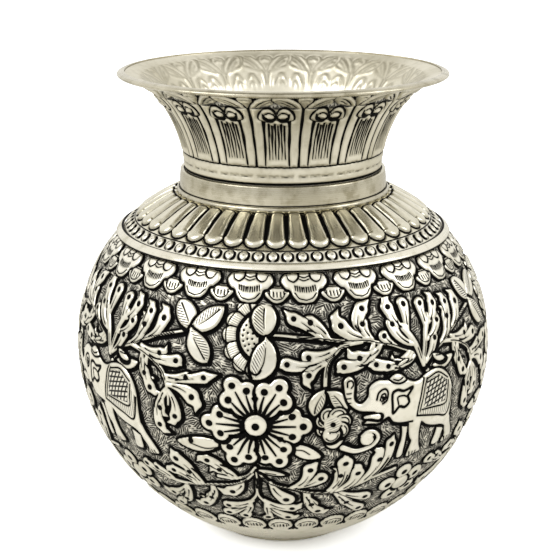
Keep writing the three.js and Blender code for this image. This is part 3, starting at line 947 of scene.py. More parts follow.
PALMETTE = Spray(
    shoots=(
        (((-7.2, 52.4), (-9.7, 55.3), (-13.6, 56.8), (-18.0, 56.5)), 0.5, 0.7),
        (((-8.0, 54.5), (-11.3, 57.8), (-15.5, 59.4), (-21.2, 60.4), (-25.7, 61.3), (-33.3, 61.6),
          (-38.8, 60.4)), 0.5, 0.7),
        (((-7.0, 52.6), (-7.4, 58.0), (-7.7, 62.5), (-10.0, 66.2)), 0.4, 0.6),
        (((-7.0, 52.6), (-7.2, 58.0), (-7.2, 62.5), (-5.2, 66.2)), 0.4, 0.6),
        (((-7.2, 52.4), (-4.6, 57.0), (-1.4, 58.8), (1.7, 59.6), (6.5, 61.4), (12.8, 62.4), (14.7, 62.5),
          (20.7, 61.0), (25.5, 58.9), (33.4, 57.2)), 0.5, 0.6),
    ),
    curls=(
        Curl((-14.2, 57.0), (-20.4, 51.3), 1.5, 0.14), Curl((-12.6, 56.6), (-17.2, 53.9), 1.5, 0.1),
        Curl((-24.6, 60.6), (-30.0, 52.8), 1.9, 0.12, (-31.4, 49.8)), Curl((-25.7, 60.8), (-32.2, 57.3), 1.5, 0.1),
        Curl((-23.6, 60.2), (-26.9, 56.7), 1.5, 0.06),
        Curl((-35.2, 61.4), (-42.8, 58.1), 1.5, 0.0), Curl((-33.8, 61.2), (-39.0, 58.3), 1.4, 0.06),
        Curl((-20.5, 61.0), (-22.3, 65.7), 1.6, -0.1), Curl((-21.0, 61.2), (-25.3, 69.2), 1.7, -0.12),
        Curl((-30.0, 62.6), (-37.4, 68.0), 1.6, -0.1), Curl((-29.6, 62.6), (-32.9, 69.4), 1.6, -0.1),
        Curl((-30.4, 63.2), (-37.2, 72.6), 1.6, -0.04),
        Curl((-11.3, 57.8), (-14.7, 61.8), 1.9, -0.1), Curl((-3.6, 57.6), (0.9, 64.2), 2.0, 0.06),
        Curl((-9.0, 65.2), (-17.3, 68.4), 1.5, -0.08), Curl((-9.7, 66.0), (-18.3, 72.3), 1.6, -0.06),
        Curl((-9.9, 66.6), (-12.7, 73.0), 1.6, -0.06),
        Curl((-5.6, 64.8), (2.8, 68.4), 1.6, 0.12), Curl((-5.0, 66.0), (1.7, 73.0), 1.6, 0.1),
        Curl((-5.2, 66.4), (-4.9, 73.2), 1.5, 0.0),
        Curl((2.6, 59.4), (7.1, 53.1), 1.6, 0.14, (9.4, 50.2)), Curl((4.4, 59.2), (10.4, 56.3), 1.7, 0.06),
        Curl((14.0, 61.8), (16.6, 51.9), 1.9, 0.12, (16.4, 48.4)), Curl((13.0, 61.4), (15.8, 55.9), 1.5, 0.12),
        Curl((15.6, 61.8), (20.9, 55.9), 1.7, 0.16),
        Curl((21.4, 60.4), (26.7, 52.2), 2.0, 0.12), Curl((22.4, 60.0), (29.3, 47.9), 1.4, 0.16, (29.7, 45.4)),
        Curl((6.4, 61.8), (8.7, 66.9), 1.7, 0.06), Curl((7.4, 62.0), (11.3, 70.4), 1.6, 0.12),
        Curl((15.6, 63.2), (20.1, 67.7), 1.6, -0.02), Curl((17.0, 62.6), (26.1, 66.3), 1.7, 0.06),
        Curl((15.9, 63.6), (26.1, 72.0), 1.7, 0.04),
    ),
)


@dataclass(frozen=True)
class Pattern:
    """A band of chased work, of which one repeat is chased and carried round the pot.

    Attributes:
        repeats: Repeats round the pot.
        top: Arc length at the band's upper edge, in mm.
        bottom: Arc length at its lower edge, or None for the end of the line.
        rows: Rows of the bench.
        columns: Steps across one repeat.
        shift: Turn of a repeat's middle, in degrees.
        wander: How far the hand strays from a true line, in mm.
        sunk: Whether the sheet starts as sunk, hatched ground.
    """

    repeats: int
    top: float
    bottom: float | None
    rows: int
    columns: int
    shift: float
    wander: float = 0.1
    sunk: bool = True

    @property
    def half(self) -> float:
        """Half of a repeat, in degrees."""
        return 180 / self.repeats

    def blank(self, turned: TurnedLine) -> Bench:
        """Lays an untouched repeat on the bench."""
        end = turned.arc[-1] if self.bottom is None else self.bottom
        arcs = np.linspace(self.top, end, self.rows + 1)
        return Bench(turned, arcs, 2 * self.half, self.columns, self.shift - self.half, self.sunk, self.wander)

    def bench(self, lines: PotLines) -> Bench:
        """Chases one repeat.

        Args:
            lines: The pot's outlines.

        Returns:
            The finished bench.
        """
        raise NotImplementedError


@dataclass(frozen=True)
class Frieze(Pattern):
    """The wide band of elephants, flowers and scrollwork.

    Attributes:
        tiers: Rings that it is made in.
    """

    repeats: int = 4
    top: float = 9.9
    bottom: float = 74.5
    rows: int = 240
    columns: int = 360
    shift: float = 5.0
    tiers: int = 4

    def bench(self, lines: PotLines) -> Bench:
        """Chases one repeat, as Pattern.bench does."""
        bench = self.blank(lines.body())
        for branch in (PALMETTE, RIGHT_BRANCH, LEFT_BRANCH, FAN):
            branch.chase(bench)
        bench.void([tapered([(-8.1, 67.4), (-8.0, 71.2), (-8.3, 73.6)], 0.6, 1.7, 0.4)], 0.2)
        HalfSunflower().chase(bench)
        self.leaves(bench)
        for figure in (Poppy(), Rosette(), RoundFlower(), Elephant()):
            figure.chase(bench)
        return bench

    @staticmethod
    def leaves(bench: Bench) -> None:
        """Raises the single leaves."""
        for tip in ((-30.3, 10.4), (-16.4, 10.6), (-19.0, 25.0)):
            VeinedLeaf((-24.8, 17.5), tip, 2.5, 0.04, 1.0, 0.7).chase(bench)
        VeinedLeaf((-5.0, 17.4), (-5.2, 9.8), 3.0, 0.0, 1.0).chase(bench)
        VeinedLeaf((-4.6, 17.8), (-7.8, 28.4), 3.1, -0.12, -1.0).chase(bench)
        bench.cut([(-8.6, 25.6), (-7.4, 26.7), (-6.2, 26.6), (-5.6, 25.8)], 0.26)
        for plain, mark in (
            (leaf((-15.4, 45.4), (-28.6, 46.6), 2.2, -0.06), [(-24.6, 46.6), (-20.4, 47.4), (-17.0, 46.8)]),
            (leaf((1.6, 45.2), (10.0, 49.2), 2.0, 0.04), [(2.6, 46.4), (5.0, 46.6), (6.8, 47.8)]),
            (leaf((-6.9, 53.0), (1.0, 54.9), 0.9), [(-4.6, 53.7), (-2.0, 54.2)]),
            (leaf((-48.6, 29.2), (-40.0, 28.0), 1.5, 0.1), [(-46.4, 28.6), (-42.8, 27.8)]),
            (leaf((42.0, 26.2), (46.6, 28.4), 1.1, 0.1), [(42.9, 26.9), (45.0, 27.2)]),
        ):
            bench.raise_up([plain], BOLD)
            bench.cut(mark, 0.15)
        bench.punch((-24.2, 45.8), 0.75)


@dataclass(frozen=True)
class ScallopBorder(Pattern):
    """The border of curled and small scallops under the plain band."""

    repeats: int = 22
    top: float = 1.2
    bottom: float = 9.9
    rows: int = 36
    columns: int = 64
    shift: float = -10.0
    wander: float = 0.07

    def bench(self, lines: PotLines) -> Bench:
        """Chases one repeat, as Pattern.bench does."""
        bench = self.blank(lines.body())
        middle, between = self.shift, self.shift + self.half
        bench.raise_up([filled(mirrored(between, ((0, 5.0), (3.7, 5.4), (3.3, 7.8), (0, 9.7))), 4)],
                       Relief(0.6, 0.9, 0.3))
        self.ticks(bench, between, 5, 1.0, 6.3, 7.5)
        bench.cut(bowed(between, ((0, 5.5), (2.6, 5.9))), 0.15)
        bench.cut(bowed(between, ((0, 8.7), (1.5, 8.2), (2.5, 6.9))), 0.15)
        curled = ((0, 1.4), (4.8, 1.6), (6.6, 2.2), (7.2, 4.0), (5.6, 5.9), (4.3, 6.4), (3.4, 8.2), (1.6, 9.5))
        bench.raise_up([filled(mirrored(middle, curled), 4)], Relief(0.68, 1.1, 0.33))
        for side in (-1, 1):
            curl = [(middle + side * x, y) for x, y in ((1.7, 1.5), (1.9, 3.0), (3.2, 4.1), (4.7, 3.6), (5.4, 2.2))]
            bench.sink([stem(curl, 0.3, 0.12)])
        for height in (2.6, 3.4):
            bench.cut(bowed(middle, ((0, height + 0.35), (1.4, height))), 0.16)
        self.ticks(bench, middle, 10, 0.66, 5.0, 6.3)
        bench.cut(bowed(middle, ((0, 8.8), (1.9, 8.3), (3.1, 7.0))), 0.15)
        return bench

    @staticmethod
    def ticks(bench: Bench, middle: float, count: int, pitch: float, top: float, bottom: float) -> None:
        """Sinks a row of short upright strokes, lower in the middle.

        Args:
            bench: The bench.
            middle: Turn of the row's middle, in degrees.
            count: Strokes in the row.
            pitch: Degrees from one to the next.
            top: Arc length at their upper ends.
            bottom: Arc length at their lower ends.
        """
        for k in range(count):
            x = (k - (count - 1) / 2) * pitch
            sag = 0.5 * (1 - (2 * x / (count * pitch)) ** 2)
            bench.sink([tapered(((middle + x, top + sag), (middle + x + 0.1, bottom + sag)), 0.17, 0.13)])


@dataclass(frozen=True)
class LowerBorder(Pattern):
    """The border of upright scallops round the pot's underside.

    Attributes:
        plain_from: Arc length from which the sheet is left plain.
        bare_from: Arc length from which it carries no line either.
        proud: How far the plain sheet stands above the sunk ground.
    """

    repeats: int = 36
    top: float = 74.5
    bottom: float = 84.0
    rows: int = 34
    columns: int = 26
    shift: float = -1.0
    plain_from: float = 80.6
    bare_from: float = 82.6
    proud: float = 0.62

    def bench(self, lines: PotLines) -> Bench:
        """Chases one repeat, as Pattern.bench does."""
        bench = self.blank(lines.body())
        middle = self.shift
        arch = mirrored(middle, ((0, 75.0), (2.2, 75.4), (4.0, 76.8), (4.9, 79.0), (4.9, 86.0)))
        bench.raise_up([cornered(arch)], Relief(0.66, 1.0, 0.28))
        bench.cut(bowed(middle, ((0, 76.4), (2.6, 77.4), (3.4, 79.0))), 0.16)
        for k in range(5):
            x = middle + (k - 2) * 1.15
            bench.sink([tapered(((x, 77.8), (x, 79.6)), 0.1, 0.16)])
        for side in (-1, 1):
            wedge = [(middle + side * x, y) for x, y in ((4.9, 79.6), (4.0, 81.2), (3.2, 82.2))]
            bench.sink([tapered(wedge, 0.2, 0.55, 0.1)])
        arcs = bench.arcs[:, None]
        bench.rise[:] = np.where(arcs > self.plain_from, self.proud, bench.rise)
        bench.ground[:] = np.where(arcs > self.plain_from, FAR, bench.ground)
        bench.ink[:] = np.where(arcs > self.bare_from, FAR, bench.ink)
        return bench


@dataclass(frozen=True)
class BeadRow(Pattern):
    """The row of round beads above the plain band.

    Attributes:
        middle: Arc length of the beads' middles.
        across: Half width of a bead.
        tall: Half height of a bead.
        proud: How far it stands off the sheet.
        ring: Half width of the blackened ring round it.
        upper_line: Arc length of the line over the row.
        lower_line: Arc length of the line under it.
    """

    repeats: int = 72
    top: float = -4.75
    bottom: float = -0.6
    rows: int = 22
    columns: int = 20
    shift: float = -3.5
    wander: float = 0.0
    sunk: bool = False
    middle: float = -2.8
    across: float = 1.22
    tall: float = 1.42
    proud: float = 0.55
    ring: float = 0.3
    upper_line: float = -4.62
    lower_line: float = -0.98

    def bench(self, lines: PotLines) -> Bench:
        """Chases one bead, as Pattern.bench does."""
        bench = self.blank(lines.body())
        arcs = bench.arcs[:, None]
        x = (bench.turns[None] - self.shift) * bench.scale(bench.arcs)[:, None]
        y = np.broadcast_to(arcs - self.middle, x.shape)
        out = np.hypot(x / self.across, y / self.tall)
        bench.rise[:] = self.proud * np.sqrt(np.clip(1 - out**2.6, 0, 1))
        ring = np.abs((out - 1.09) * self.across) - self.ring
        open_end = np.clip((np.abs(y) - 1.05) * 0.6, 0, None)
        pit = np.hypot(x - 0.1, y + 0.1) - 0.13
        for ink in (ring + open_end, pit, np.abs(arcs - self.upper_line) - 0.2, self.lower_line - arcs):
            bench.ink[:] = np.minimum(bench.ink, ink)
        return bench


@dataclass(frozen=True)
class Gadroons(Pattern):
    """The long convex lobes from the bead row up to the collar.

    Attributes:
        tip: Arc length of their round tips.
        proud: How far they stand off the sheet.
        fill: The part of its share of the ring that a lobe's round tip fills.
        gap: Half width of the groove between two lobes, in mm.
        widening: How much wider the groove is at the top.
    """

    repeats: int = 44
    top: float = -17.3
    bottom: float = -4.75
    rows: int = 47
    columns: int = 28
    shift: float = -2.7
    wander: float = 0.05
    sunk: bool = False
    tip: float = -5.2
    proud: float = 0.85
    fill: float = 0.98
    gap: float = 0.4
    widening: float = 0.16

    def bench(self, lines: PotLines) -> Bench:
        """Chases one lobe, as Pattern.bench does."""
        bench = self.blank(lines.body())
        scale = bench.scale(bench.arcs)[:, None]
        half = self.half * scale
        x = (bench.turns[None] - self.shift) * scale + bench.stray[0]
        y = np.broadcast_to(bench.arcs[:, None], x.shape)
        round_end = half * self.fill
        edge = half - self.gap - self.widening * np.clip((self.tip - 1.5 - y) / 4, 0, 1)
        past = np.clip(y - (self.tip - round_end), 0, None)
        gap = np.where(past > 0, np.hypot(x, past) - round_end + 0.12, np.abs(x) - edge)
        bench.rise[:] = self.proud * (1 - np.clip(1 + gap / (half * 0.5), 0, 1) ** 2.2) ** 0.5
        bench.rise[:] = np.where(gap > 0, 0, bench.rise)
        bench.ink[:] = np.where(past > 0, np.abs(gap - 0.2) - 0.24, -(gap + 0.02))
        bench.ink[:] = np.minimum(bench.ink, y - self.top - 0.42)
        return bench


@dataclass(frozen=True)
class NeckPanels(Pattern):
    """The arched panels on the flare of the neck, and their soft print inside it.

    Attributes:
        foot_line: Arc length of the line under the panels.
        leaf_band: Arc lengths between which the sheet behind the leaves is sunk.
        swell: How far the metal between the lines swells out, in mm.
        swell_to: Arc length up to which it does.
        black_to: Arc length of the black edge over the collar.
    """

    repeats: int = 16
    top: float = 0.3
    bottom: float | None = None
    rows: int = 94
    columns: int = 40
    shift: float = -3.0
    wander: float = 0.08
    sunk: bool = False
    foot_line: float = 4.8
    leaf_band: tuple[float, float] = (22.6, 29.4)
    swell: float = 0.2
    swell_to: float = 29.6
    black_to: float = 0.75

    def bench(self, lines: PotLines) -> Bench:
        """Chases one panel, as Pattern.bench does."""
        bench = self.blank(lines.neck())
        head = bench.arcs[:, None]
        bench.ground[:] = np.maximum(self.leaf_band[0] - head, head - self.leaf_band[1])
        bench.rise[:] = -0.2 * np.clip(-bench.ground / 1.6, 0, 1)
        self.flutes(bench)
        self.volutes(bench)
        self.leaves(bench)
        bench.cut([(self.shift - 12, self.foot_line), (self.shift + 12, self.foot_line)], 0.19)
        for start, end in ((-10.6, -6.4), (-4.2, 0.6), (2.2, 8.4)):
            dash = [(self.shift + start, 2.35), (self.shift + (start + end) / 2, 2.3), (self.shift + end, 2.38)]
            bench.cut(dash, 0.09)
        below_lip = np.clip((self.swell_to - head) / 0.8, 0, 1)
        bench.rise += self.swell * np.clip(bench.ink / 0.7, 0, 1) ** 0.6 * below_lip
        bench.ink[:] = np.minimum(bench.ink, head - self.black_to)
        return bench

    def sides(self, points: Sequence[Point]) -> Iterator[list[Point]]:
        """Gives points on the left and then on the right of a panel's middle."""
        for side in (-1, 1):
            yield [(self.shift + side * x, y) for x, y in points]

    def inner_print(self, lines: PotLines) -> Bench:
        """Chases what shows through on the inner face: the bows, the leaves and the partings.

        Args:
            lines: The pot's outlines.

        Returns:
            The finished bench.
        """
        bench = self.blank(lines.neck())
        for bow in self.sides(((7.2, 17.0), (7.0, 19.6), (5.2, 21.6), (3.0, 21.9), (1.2, 20.6))):
            bench.sink([stem(bow, 0.5, 0.3)])
        for curl in self.sides(((4.9, 17.4), (4.6, 19.0), (3.2, 19.8), (2.0, 19.0))):
            bench.cut(curl, 0.34)
        parting = ((0.6, 15.0), (0.6, 20.0), (1.6, 23.0), (4.4, 25.6))
        for side in self.sides([(self.half - x, y) for x, y in parting]):
            bench.cut(side, 0.42)
        self.leaves(bench)
        return bench

    def flutes(self, bench: Bench) -> None:
        """Sinks the lines between two panels and the fine upright lines of each."""
        for parting in self.sides(((self.half, self.foot_line + 0.1), (self.half, 14.0), (self.half, 23.2))):
            bench.sink([tapered(parting, 0.26, 0.32, 0.44)])
        for edge in self.sides(((6.2, 5.4), (6.0, 12.0), (5.7, 18.9))):
            bench.sink([tapered(edge, 0.2, 0.32, 0.42)])
        for k in range(6):
            x, top = (k - 2.5) * 1.62, 17.2 - 0.5 * (k % 2)
            bench.sink([tapered(((self.shift + x, 7.0), (self.shift + x * 0.88, top)), 0.12, 0.26)])

    def volutes(self, bench: Bench) -> None:
        """Raises the pair of curls over the flutes, under their double bow."""
        bow = ((0, 20.5), (1.4, 22.2), (3.2, 22.9), (5.2, 22.4), (7.0, 21.0), (7.7, 19.0), (5.4, 18.4), (2.6, 17.9),
               (0, 18.7))
        bench.raise_up([filled(mirrored(self.shift, bow))], Relief(0.34, 0.9, 0.22))
        for crescent in self.sides(((5.6, 20.8), (4.9, 19.3), (2.9, 18.6), (1.0, 19.1), (0.2, 20.2))):
            path = smooth_path(crescent)
            bench.sink([Stroke(path, 0.16 + 0.38 * np.sin(np.linspace(0.2, math.pi - 0.2, len(path))))])
        for fold in self.sides(((4.6, 20.9), (3.4, 21.5), (1.9, 21.3))):
            bench.cut(fold, 0.16)
        for knob in self.sides(((4.0, 20.25), (2.9, 20.2), (1.9, 19.9))):
            bench.raise_up([tapered(knob, 0.6, 0.95, 0.7)], Relief(0.5, 1.0, 0.16))

    def leaves(self, bench: Bench) -> None:
        """Raises the two leaves that close an arch, and the small leaf between two arches."""
        for spine in self.sides(((10.6, 23.4), (7.4, 24.6), (4.4, 25.9), (2.0, 27.2), (0.3, 28.3))):
            path = smooth_path(spine, steps=4)
            reach = np.interp(np.linspace(0, 1, len(path)), (0, 0.3, 0.62, 0.85, 1), (0.5, 1.5, 2.1, 1.7, 0.6))
            bench.raise_up([Stroke(path, reach)], Relief(0.5, 1.2, 0.22))
        for fold in self.sides(((8.0, 23.8), (6.0, 25.2), (3.6, 26.9), (1.6, 27.9))):
            bench.cut(fold, 0.2)
        for fold in self.sides(((5.6, 24.3), (3.8, 25.3), (2.0, 26.4))):
            bench.cut(fold, 0.14)
        between = self.shift + self.half
        small = ((0, 23.0), (1.3, 24.6), (2.8, 26.2), (2.5, 27.9), (0, 28.9))
        bench.raise_up([filled(mirrored(between, small))], Relief(0.42, 1.0, 0.22))
        bench.cut(bowed(between, ((0, 27.4), (1.3, 26.9))), 0.14)


@dataclass
class Ring:
    """One cell of a turned piece, built row by row, that Geometry Nodes carry round the pot.

    Attributes:
        name: Name of the piece.
        turns: The cell's columns, in degrees.
        repeats: Cells in the ring.
        abreast: Cells side by side in the piece's unwrapped map.
        open_ends: Whether the rows run from pole to pole instead of in a loop.
        radius: Radius of each row, in mm.
        height: Height of each row.
        sharp: Whether each row is an edge.
        fine: Whether each row has its full share of the unwrapped map.
        notes: What is noted on each row.
    """

    name: str
    turns: Grid
    repeats: int
    abreast: int = 1
    open_ends: bool = False
    radius: list[Grid] = field(default_factory=list)
    height: list[Grid] = field(default_factory=list)
    sharp: list[bool] = field(default_factory=list)
    fine: list[bool] = field(default_factory=list)
    notes: dict[Note, list[Grid]] = field(default_factory=lambda: {Note.INK: [], Note.GROUND: [], Note.STROKES: []})
    COARSE = 0.3  # share of the unwrapped map that a stretch between plain rows has, against a fine one
    BORDER = 0.01  # share of the unwrapped map that is left free at both ends

    def row(self, radius: float | Grid, height: float | Grid, sharp: bool = False, ink: float | Grid = FAR,
            fine: bool = False, ground: float | Grid = FAR, strokes: Grid | None = None) -> None:
        """Adds a row.

        Args:
            radius: Its radius in mm.
            height: Its height in mm.
            sharp: Whether it is an edge.
            ink: How far it is from a blackened line, in mm.
            fine: Whether it has its full share of the unwrapped map.
            ground: How far it is from the sunk ground, in mm.
            strokes: Its fine graver strokes, or None if it has none.
        """
        flat = np.zeros(len(self.turns))
        self.radius.append(flat + radius)
        self.height.append(flat + height)
        self.sharp.append(sharp)
        self.fine.append(fine)
        self.notes[Note.INK].append(flat + ink)
        self.notes[Note.GROUND].append(flat + ground)
        self.notes[Note.STROKES].append(np.zeros((len(flat), 3)) if strokes is None else strokes)

    def worked(self, bench: Bench, rows: range, sunk: float, depth: float) -> None:
        """Adds rows that the bench has chased.

        Args:
            bench: The bench.
            rows: Which of its rows, the first and last as edges.
            sunk: How deep the untouched sheet lies under the pot's line, in mm.
            depth: How deep the blackened lines are sunk.
        """
        surface = bench.surface(depth) - sunk
        for i in rows:
            radius, height = bench.turned.offset(bench.arcs[i], surface[i])
            self.row(radius, height, i in (rows[0], rows[-1]), bench.ink[i], True, bench.ground[i],
                     np.stack([held[i] for held in bench.strokes], 1))

    def mesh(self) -> bpy.types.Mesh:
        """Builds the cell as a mesh with its notes, its flat chart and its place in the unwrapped map.

        Returns:
            The mesh, in metres.
        """
        radius, height = np.array(self.radius), np.array(self.height)
        count, wide = radius.shape
        angle = np.radians(self.turns)[None]
        points = np.stack([radius * np.sin(angle), -radius * np.cos(angle), height], -1).reshape(-1, 3) * MM
        middle_r, middle_z = radius.mean(1), height.mean(1)
        links = [(i, i + 1) for i in range(count - 1)] + ([] if self.open_ends else [(count - 1, 0)])
        area = sum(middle_r[a] * middle_z[b] - middle_r[b] * middle_z[a] for a, b in links)
        upper, lower = (np.array(rows)[:, None] for rows in zip(*links))
        left = np.arange(wide - 1)[None]
        corners = [(0, 0), (1, 0), (1, 1), (0, 1)]  # row and column of a face's corners, seen from outside
        if area > 0:
            corners.reverse()
        faces = np.stack([(upper, lower)[r] * wide + left + c for r, c in corners], -1).reshape(-1, 4)
        mesh = bpy.data.meshes.new(self.name)
        mesh.from_pydata(points.astype(np.float32), [], faces)
        mesh.shade_smooth()
        self.write_notes(mesh)
        step = np.array([np.hypot(middle_r[b] - middle_r[a], middle_z[b] - middle_z[a]) for a, b in links])
        weight = np.array([1.0 if self.fine[a] and self.fine[b] else self.COARSE for a, b in links])
        reach = np.concatenate([[0.0], np.cumsum(step * weight)])
        share = self.BORDER + (1 - 2 * self.BORDER) * reach / reach[-1]
        run = np.concatenate([[0.0], np.cumsum(step)])
        columns = np.broadcast_to(left, (len(links), wide - 1))
        scale = np.maximum(middle_r, 1.0)[upper] * math.pi / 180
        rows_of_cells = math.ceil(self.repeats / self.abreast)
        chart, bake = [], []
        middle = float(self.turns.mean())
        for r, c in corners:
            turn = self.turns[columns + c]
            chart.append(np.stack([(turn - middle) * scale, np.broadcast_to(run[upper + r], turn.shape)], -1))
            u = (columns + c) / (wide - 1) / self.abreast
            bake.append(np.stack([u, np.broadcast_to(share[upper + r] / rows_of_cells, turn.shape)], -1))
        for name, corner in ((Note.CHART.value, chart), ("OFBake", bake)):
            layer = mesh.uv_layers.new(name=name)
            layer.data.foreach_set("uv", np.stack(corner, 2).astype(np.float32).ravel())
        return mesh

    def write_notes(self, mesh: bpy.types.Mesh) -> None:
        """Writes what the bench noted, and the sharp edges, as attributes of the mesh."""
        for note, kind, key in ((Note.INK, "FLOAT", "value"), (Note.GROUND, "FLOAT", "value"),
                                (Note.STROKES, "FLOAT_VECTOR", "vector")):
            held = mesh.attributes.new(note.value, kind, "POINT")
            held.data.foreach_set(key, np.array(self.notes[note], np.float32).ravel())
        ends = np.zeros(len(mesh.edges) * 2, np.int32)
        mesh.edges.foreach_get("vertices", ends)
        row = ends.reshape(-1, 2) // len(self.turns)
        sharp = (row[:, 0] == row[:, 1]) & np.array(self.sharp)[row[:, 0]]
        mesh.attributes.new("sharp_edge", "BOOLEAN", "EDGE").data.foreach_set("value", sharp)


class Nodes:
    """A node tree, with short ways to add to it."""

    def __init__(self, tree: bpy.types.NodeTree) -> None:
        """Takes a tree and empties it."""
        self.tree = tree
        tree.nodes.clear()

    def node(self, kind: str, inputs: dict[str | int, object] | None = None, **settings: object) -> bpy.types.Node:
        """Adds a node.

        Args:
            kind: Its type.
            inputs: Values or sockets for its inputs.
            **settings: Its own settings.

        Returns:
            The node.
        """
        made = self.tree.nodes.new(kind)
        for name, value in settings.items():
            setattr(made, name, value)
        for name, value in (inputs or {}).items():
            if isinstance(value, Socket):
                self.tree.links.new(value, made.inputs[name])
            else:
                made.inputs[name].default_value = value
        return made

    def math(self, operation: str, *values: object) -> Socket:
        """Adds a maths node."""
        return self.node("ShaderNodeMath", dict(enumerate(values)), operation=operation).outputs[0]


class CarryRound(Nodes):
    """Geometry Nodes that carry one cell round the pot and join the copies into one closed piece."""

    INPUTS = {"Count": "NodeSocketInt", "Abreast": "NodeSocketInt", "Rows": "NodeSocketInt",
              "Join within": "NodeSocketFloat", "Finish": "NodeSocketMaterial"}
    JOIN = 0.008 * MM  # farthest that two points may be apart to become one

    def __init__(self) -> None:
        """Builds the node tree once for all pieces."""
        super().__init__(bpy.data.node_groups.new("carry_round", "GeometryNodeTree"))
        face = self.tree.interface
        face.new_socket("Cell", in_out="INPUT", socket_type="NodeSocketGeometry")
        self.socket = {
            name: face.new_socket(name, in_out="INPUT", socket_type=kind).identifier
            for name, kind in self.INPUTS.items()
        }
        face.new_socket("Piece", in_out="OUTPUT", socket_type="NodeSocketGeometry")
        given = self.node("NodeGroupInput").outputs
        index = self.node("GeometryNodeInputIndex").outputs[0]
        points = self.node("GeometryNodePoints", {"Count": given["Count"]})
        turn = self.math("DIVIDE", math.tau, given["Count"])
        spin = self.node("ShaderNodeCombineXYZ", {"Z": self.math("MULTIPLY", turn, index)})
        placed = self.node("GeometryNodeInstanceOnPoints", {
            "Points": points.outputs[0], "Instance": given["Cell"], "Rotation": spin.outputs[0],
        })
        number = self.store(placed.outputs[0], "cell", "INT", "INSTANCE", index)
        solid = self.node("GeometryNodeRealizeInstances", {"Geometry": number})
        cell = self.named("cell", "INT")
        across = self.math("DIVIDE", self.math("MODULO", cell, given["Abreast"]), given["Abreast"])
        down = self.math("DIVIDE", self.math("FLOOR", self.math("DIVIDE", cell, given["Abreast"])), given["Rows"])
        shift = self.node("ShaderNodeCombineXYZ", {"X": across, "Y": down})
        place = self.node("ShaderNodeVectorMath", {0: self.named("OFBake", "FLOAT_VECTOR"), 1: shift.outputs[0]})
        mapped = self.store(solid.outputs[0], "OFBake", "FLOAT2", "CORNER", place.outputs[0])
        joined = self.node("GeometryNodeMergeByDistance", {"Geometry": mapped, "Distance": given["Join within"]})
        clean = self.node("GeometryNodeRemoveAttribute", {"Geometry": joined.outputs[0], "Name": "cell"})
        dressed = self.node("GeometryNodeSetMaterial", {"Geometry": clean.outputs[0], "Material": given["Finish"]})
        self.node("NodeGroupOutput", {0: dressed.outputs[0]})

    def named(self, name: str, kind: str) -> Socket:
        """Reads an attribute."""
        return self.node("GeometryNodeInputNamedAttribute", {"Name": name}, data_type=kind).outputs["Attribute"]

    def store(self, geometry: Socket, name: str, kind: str, domain: str, value: Socket) -> Socket:
        """Writes an attribute.

        Args:
            geometry: What it is written on.
            name: Its name.
            kind: Its type.
            domain: What it has one value for each of.
            value: The values.

        Returns:
            The geometry with it.
        """
        inputs = {"Geometry": geometry, "Name": name, "Value": value}
        return self.node("GeometryNodeStoreNamedAttribute", inputs, data_type=kind, domain=domain).outputs[0]

    def piece(self, ring: Ring, finish: bpy.types.Material) -> bpy.types.Object:
        """Carries a cell round and keeps the result as a plain mesh.

        Args:
            ring: The cell.
            finish: Its material.

        Returns:
            The piece, in place.
        """
        made = bpy.data.objects.new(ring.name, ring.mesh())
        bpy.context.scene.collection.objects.link(made)
        modifier = made.modifiers.new("carry_round", "NODES")
        modifier.node_group = self.tree
        values = (ring.repeats, ring.abreast, math.ceil(ring.repeats / ring.abreast), self.JOIN, finish)
        for name, value in zip(self.INPUTS, values):
            modifier[self.socket[name]] = value
        made.data.update_tag()
        graph = bpy.context.evaluated_depsgraph_get()
        whole = bpy.data.meshes.new_from_object(made.evaluated_get(graph), preserve_all_data_layers=True,
                                                depsgraph=graph)
        made.modifiers.clear()
        cell = made.data
        made.data = whole
        bpy.data.meshes.remove(cell)
        whole.name = ring.name
        return made


